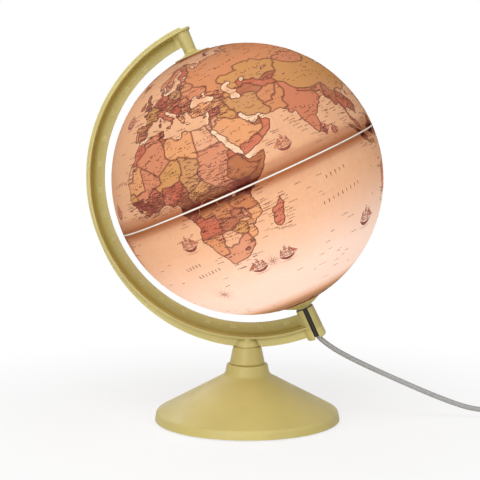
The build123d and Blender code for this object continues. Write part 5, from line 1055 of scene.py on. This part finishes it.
FIBRE_STRENGTH, FIBRE_DEPTH = 0.12, 0.05 * MM


def map_surface():
    """Printed shell: tinted lands with banded edges, pale seas, the joint's shadow and the lamp's glow."""
    surface = Surface("map_print")
    surface.set("Specular IOR Level", 0.0)
    stain, fibre = surface.noise(*STAIN_NOISE), surface.noise(*FIBRE_NOISE)
    ragged = surface.ramp(surface.noise(*RAGGED_NOISE), *RAGGED_COAST)
    edge = surface.maths("ADD", surface.attribute("coast"), ragged)
    land = surface.ramp(edge, *COAST_STEP)
    sea = surface.mix(surface.ramp(surface.attribute("near_land"), *SHUT_IN), OPEN_SEA, SHUT_IN_SEA)
    tint = surface.mix(surface.ramp(stain, *STAINED_LAND), surface.attribute("tint", "Color"), LAND_STAIN)
    tint = surface.mix(surface.ramp(surface.attribute("border"), *BORDER_BAND), tint, BAND_BROWN)
    tint = surface.mix(surface.ramp(edge, *COAST_BAND), tint, BAND_BROWN)
    page = surface.mix(land, sea, tint)
    page = surface.mix(surface.ramp(surface.maths("ABSOLUTE", edge), *COAST_LINE), page, LINE_BROWN)
    for line in ("meridian", "parallel"):
        thread = surface.ramp(surface.maths("ABSOLUTE", surface.attribute(line)), *GRID_LINE)
        page = surface.mix(thread, page, GRID_BROWN)
    page = surface.mix(surface.ramp(fibre, *FIBRE_MARKS), page, FIBRE_BROWN)
    page = surface.mix(surface.ramp(stain, *PALE_MARKS), page, PALE_STAIN)
    shadow = surface.maths("POWER", surface.attribute("shadow"), surface.ramp(edge, *SHADOW_POWER))
    shaded = surface.mix(1.0, page, surface.mix(land, SEA_SHADE, LAND_SHADE), "MULTIPLY")
    page = surface.mix(shadow, page, shaded)
    surface.set("Base Color", surface.mix(1.0, page, PRINT_DIMMING, "MULTIPLY"))
    glow = surface.attribute("glow")
    # Painted light: the lamp's glow washes the emitted colour out towards cream, most over the sea
    washout = surface.maths("MULTIPLY", surface.ramp(glow, *GLOW_WASHOUT), surface.ramp(edge, *SEA_WASHOUT))
    surface.set("Emission Color", surface.mix(washout, page, GLOW_CREAM))
    surface.set("Emission Strength", glow)
    surface.gloss(*PRINT_ROUGHNESS, stain)
    surface.bump(fibre, FIBRE_STRENGTH, FIBRE_DEPTH)
    return surface.material


INK_NOISE, INK_TAKE = (380.0, 4.0), (0.35, 0.7)
INK_SPECULAR = 0.2
# Dark and pale tone and glow of the FINE, FAINT and RUSSET inks
INKS = {
    "fine_ink": ((80, 36, 32), (108, 54, 44), 0.1),
    "faint_ink": ((170, 98, 76), (190, 120, 92), 0.25),
    "russet_ink": ((118, 56, 50), (152, 82, 70), 0.14),
}


def ink_surface(name, dark, pale, glow):
    """Print ink that takes unevenly, with a little of the lamp's glow."""
    surface = Surface(name)
    surface.set("Specular IOR Level", INK_SPECULAR)
    tone = surface.mix(surface.ramp(surface.noise(*INK_NOISE), *INK_TAKE), dark, pale)
    surface.set("Base Color", tone)
    surface.set("Emission Color", tone)
    surface.set("Emission Strength", glow)
    surface.gloss(*PRINT_ROUGHNESS)
    return surface.material


# Arm: distances between which the painted shade in its channel grows and ends, with the share of that shade
CHANNEL_SHADE_IN = (138 * MM, 150 * MM, 0.25, 1.0)
CHANNEL_SHADE_OUT = (151.5 * MM, 153 * MM, 1.0, 0.0)
CHANNEL_SHADE_DEPTH = (4 * MM, 11.5 * MM, 1.0, 0.25)
SHADE_CLEAR_OF_POSTS = (8 * MM, 11 * MM)
# Reach from the arm's centre, beyond the flange, over which the arm turns a lighter ochre as painted light
RIB_LIT_REACH = (156 * MM, 160 * MM)
# The arm's tones, a little darker than the base's ochre as painted shade; the lighter ochre beyond the
# flange as painted light; the channel's dark olive as painted shade
ARM_SHADED_TONES, RIB_LIT_OCHRE, CHANNEL_SHADE_OCHRE = ((182, 169, 104), (189, 176, 109)), (204, 191, 122), (150, 134, 61)
OCHRE_ROUGHNESS = (0.42, 0.55)


def arm_plastic():
    """Ochre plastic with painted shade in the channel of the arm, towards the corner of web and flange, and
    a painted lighter tone beyond the flange.
    """
    surface = Surface("ochre_arm_painted_shade")
    apart = surface.node("ShaderNodeSeparateXYZ")
    surface.feed(apart.inputs[0], surface.place)
    offset = surface.vector("SUBTRACT", surface.place, BALL_CENTRE + ARM_SHIFT * EAST)
    reach = surface.vector("LENGTH", surface.vector("MULTIPLY", offset, (1, 0, 1)))
    aside = surface.maths("ADD", surface.vector("DOT_PRODUCT", offset, EAST), ARM_SHIFT)
    # Painted shade in the channel: growing towards the corner of web and flange, left off round the posts,
    # weaker away from the web's mid-plane
    corner = surface.maths("MULTIPLY", surface.ramp(reach, *CHANNEL_SHADE_IN), surface.ramp(reach, *CHANNEL_SHADE_OUT))
    clear = surface.ramp(surface.maths("ABSOLUTE", aside), *SHADE_CLEAR_OF_POSTS)
    corner = surface.maths("MULTIPLY", corner, clear)
    depth = surface.ramp(surface.maths("ABSOLUTE", apart.outputs[1]), *CHANNEL_SHADE_DEPTH)
    # Painted light: beyond the flange the arm turns a lighter ochre
    tone = surface.mix(surface.ramp(reach, *RIB_LIT_REACH), surface.clouds(*ARM_SHADED_TONES), RIB_LIT_OCHRE)
    # Painted shade: the channel turns to a dark olive
    surface.set("Base Color", surface.mix(surface.maths("MULTIPLY", corner, depth), tone, CHANNEL_SHADE_OCHRE))
    surface.gloss(*OCHRE_ROUGHNESS)
    surface.grain()
    return surface.material


# Distances from the tape's middle over which its edges turn to a painted shade, and that shade's colour
TAPE_SHADE_SPAN = (0.5 * MM, 0.8 * MM)
TAPE_TONES, TAPE_EDGE_SHADE = ((228, 218, 206), (240, 230, 218)), (118, 72, 54)
TAPE_ROUGHNESS = (0.6, 0.8)
TAPE_GRAIN = 1400.0


def paper_tape():
    """White tape with painted shade along its edges."""
    surface = Surface("paper_tape")
    height = surface.vector("DOT_PRODUCT", surface.vector("SUBTRACT", surface.place, BALL_CENTRE), NORTH)
    # Painted shade: a dark brown line along each edge of the tape
    edge = surface.ramp(surface.maths("ABSOLUTE", height), *TAPE_SHADE_SPAN)
    surface.set("Base Color", surface.mix(edge, surface.clouds(*TAPE_TONES), TAPE_EDGE_SHADE))
    surface.gloss(*TAPE_ROUGHNESS)
    surface.grain(TAPE_GRAIN)
    return surface.material


GLASS_IOR = 1.45
GLASS_TONES, GLASS_CLOUDS = ((244, 244, 238), (250, 250, 246)), 40.0
GLASS_WAVE, GLASS_WAVE_STRENGTH, GLASS_WAVE_DEPTH = 120.0, 0.05, 0.04 * MM


def bulb_glass():
    """Clear glass with a slight waviness."""
    surface = Surface("clear_glass", roughness=0.05)
    surface.set("Transmission Weight", 1.0)
    surface.set("IOR", GLASS_IOR)
    surface.set("Base Color", surface.clouds(*GLASS_TONES, GLASS_CLOUDS))
    surface.bump(surface.noise(GLASS_WAVE), GLASS_WAVE_STRENGTH, GLASS_WAVE_DEPTH)
    return surface.material


def dress(piece, material):
    piece.data.materials.clear()
    piece.data.materials.append(material)


printed_map = map_surface()
for piece in (north_shell, south_shell):
    dress(piece, printed_map)
for name, tones in INKS.items():
    map_ink.data.materials.append(ink_surface(name, *tones))
OCHRE_SHADE = 0.965
lead_sheath = moulded("lead_sheath", (164, 163, 161), 0.42, 0.6, grain=500.0, shade=0.96)
dress(lead, lead_sheath)
# The raised marks keep a light ochre with none of the channel's painted shade, a painted highlight that sets
# them off from the web
dress(marks, moulded("ochre_marks_highlight", (190, 177, 110), 0.36, 0.5, shade=OCHRE_SHADE))
WEARS = {
    "base_shell neck_sleeve north_cap south_cap": moulded(
        "ochre_plastic", (193, 178, 107), *OCHRE_ROUGHNESS, shade=OCHRE_SHADE
    ),
    "meridian_arm": arm_plastic(),
    # Black: its own colour, deepened a little as painted shade so the lamp tube in the boss's slot reads as
    # dark as the shade there
    "base_cover lamp_tube switch_rocker coil_tie": moulded("black_plastic", (27, 25, 22), 0.35, 0.5),
    "joint_ring lamp_holder": moulded("white_plastic", (226, 224, 218), 0.4, 0.55),
    "switch_lower switch_upper plug_body": moulded("grey_plastic", (168, 163, 158), 0.4, 0.55),
    "equator_tape": paper_tape(),
    "foot_ring cord_grommet": moulded("rubber_black", (44, 42, 40), 0.65, 0.85),
    "arm_bolt arm_washer cover_screws pivot_pin": moulded(
        "zinc_steel", (190, 192, 194), 0.28, 0.42, metallic=1.0
    ),
    "ballast_ring": moulded("cast_iron", (92, 90, 88), 0.6, 0.8, grain=400.0, metallic=0.6),
    "socket_shell socket_contact": moulded("stamped_brass", (214, 180, 108), 0.25, 0.4, metallic=1.0),
    "bulb_cap": moulded("pressed_alloy", (205, 206, 208), 0.25, 0.4, metallic=1.0),
    "bulb_glass": bulb_glass(),
    "inner_cord": lead_sheath,
    "plug_pins": moulded("nickel", (214, 210, 202), 0.16, 0.28, metallic=1.0),
}
for names, material in WEARS.items():
    for name in names.split():
        dress(frame["nodes"][name], material)

# Floor, backdrop and soft light
FLOOR_HALF = 6.0
FLOOR_DROP = 0.2 * MM
FLOOR_TONES, FLOOR_CLOUDS = ((246, 246, 246), (250, 250, 250)), 9.0
# Distances over which the floor turns from showing shadows to plain white
FLOOR_FADE = (0.1, 0.5, 0.72, 1.0)
WHITE = (1, 1, 1, 1)
ROOM_COLOUR, ROOM_STRENGTH = (1.0, 0.985, 0.96, 1), 0.22
LIT_POINT = Vector((0.0, 0.0, 0.2))
# Place, width and power of each area lamp
SOFTBOXES = {
    "key": ((-0.28, -1.0, 1.5), 1.2, 13.5),
    "low": ((-0.6, -1.6, 0.3), 1.0, 14.0),
    "fill": ((1.25, -0.9, 1.0), 1.0, 5.2),
    "back": ((-0.7, 1.3, 1.2), 1.2, 6.0),
}


def seen_directly(tree):
    """1 for rays from the camera, from gloss or through glass."""
    path = tree.nodes.new("ShaderNodeLightPath")
    total = path.outputs["Is Camera Ray"]
    for name in ("Is Glossy Ray", "Is Transmission Ray"):
        join = tree.nodes.new("ShaderNodeMath")
        join.operation = "MAXIMUM"
        tree.links.new(total, join.inputs[0])
        tree.links.new(path.outputs[name], join.inputs[1])
        total = join.outputs[0]
    return total


def floor_material():
    """Pale floor that keeps the shadow under the globe and is white further out."""
    surface = Surface("pale_floor", roughness=0.9)
    surface.set("Base Color", surface.clouds(*FLOOR_TONES, FLOOR_CLOUDS))
    surface.set("Specular IOR Level", 0.0)
    glow = surface.node("ShaderNodeEmission")
    glow.inputs["Color"].default_value = WHITE
    share = surface.ramp(surface.vector("LENGTH", surface.place), *FLOOR_FADE)
    blend = surface.node("ShaderNodeMixShader")
    surface.feed(blend.inputs[0], surface.maths("MULTIPLY", share, seen_directly(surface.tree)))
    surface.feed(blend.inputs[1], surface.shader.outputs[0])
    surface.feed(blend.inputs[2], glow.outputs[0])
    surface.feed(surface.tree.nodes["Material Output"].inputs["Surface"], blend.outputs[0])
    return surface.material


floor_corners = [(x * FLOOR_HALF, y * FLOOR_HALF, 0) for x, y in ((-1, -1), (1, -1), (1, 1), (-1, 1))]
floor_mesh = bpy.data.meshes.new("floor")
floor_mesh.from_pydata(floor_corners, [], [(0, 1, 2, 3)])
floor = link("floor", floor_mesh)
floor.location.z = -FLOOR_DROP
dress(floor, floor_material())

world = bpy.data.worlds.new("studio")
scene.world = world
world.use_nodes = True
nodes, links = world.node_tree.nodes, world.node_tree.links
room = nodes["Background"]
room.inputs["Color"].default_value = ROOM_COLOUR
room.inputs["Strength"].default_value = ROOM_STRENGTH
backdrop = nodes.new("ShaderNodeBackground")
backdrop.inputs["Color"].default_value = WHITE
either = nodes.new("ShaderNodeMixShader")
shown = (seen_directly(world.node_tree), room.outputs[0], backdrop.outputs[0])
for output, socket in zip(shown, either.inputs):
    links.new(output, socket)
links.new(either.outputs[0], nodes["World Output"].inputs["Surface"])

for name, (place, width, power) in SOFTBOXES.items():
    lamp = bpy.data.lights.new(name, "AREA")
    lamp.shape = "DISK"
    lamp.size = width
    lamp.energy = power
    box = link(name, lamp)
    box.location = place
    box.rotation_euler = (LIT_POINT - Vector(place)).to_track_quat("-Z", "Y").to_euler()

scene.view_settings.view_transform = "Standard"
bpy.context.view_layer.update()
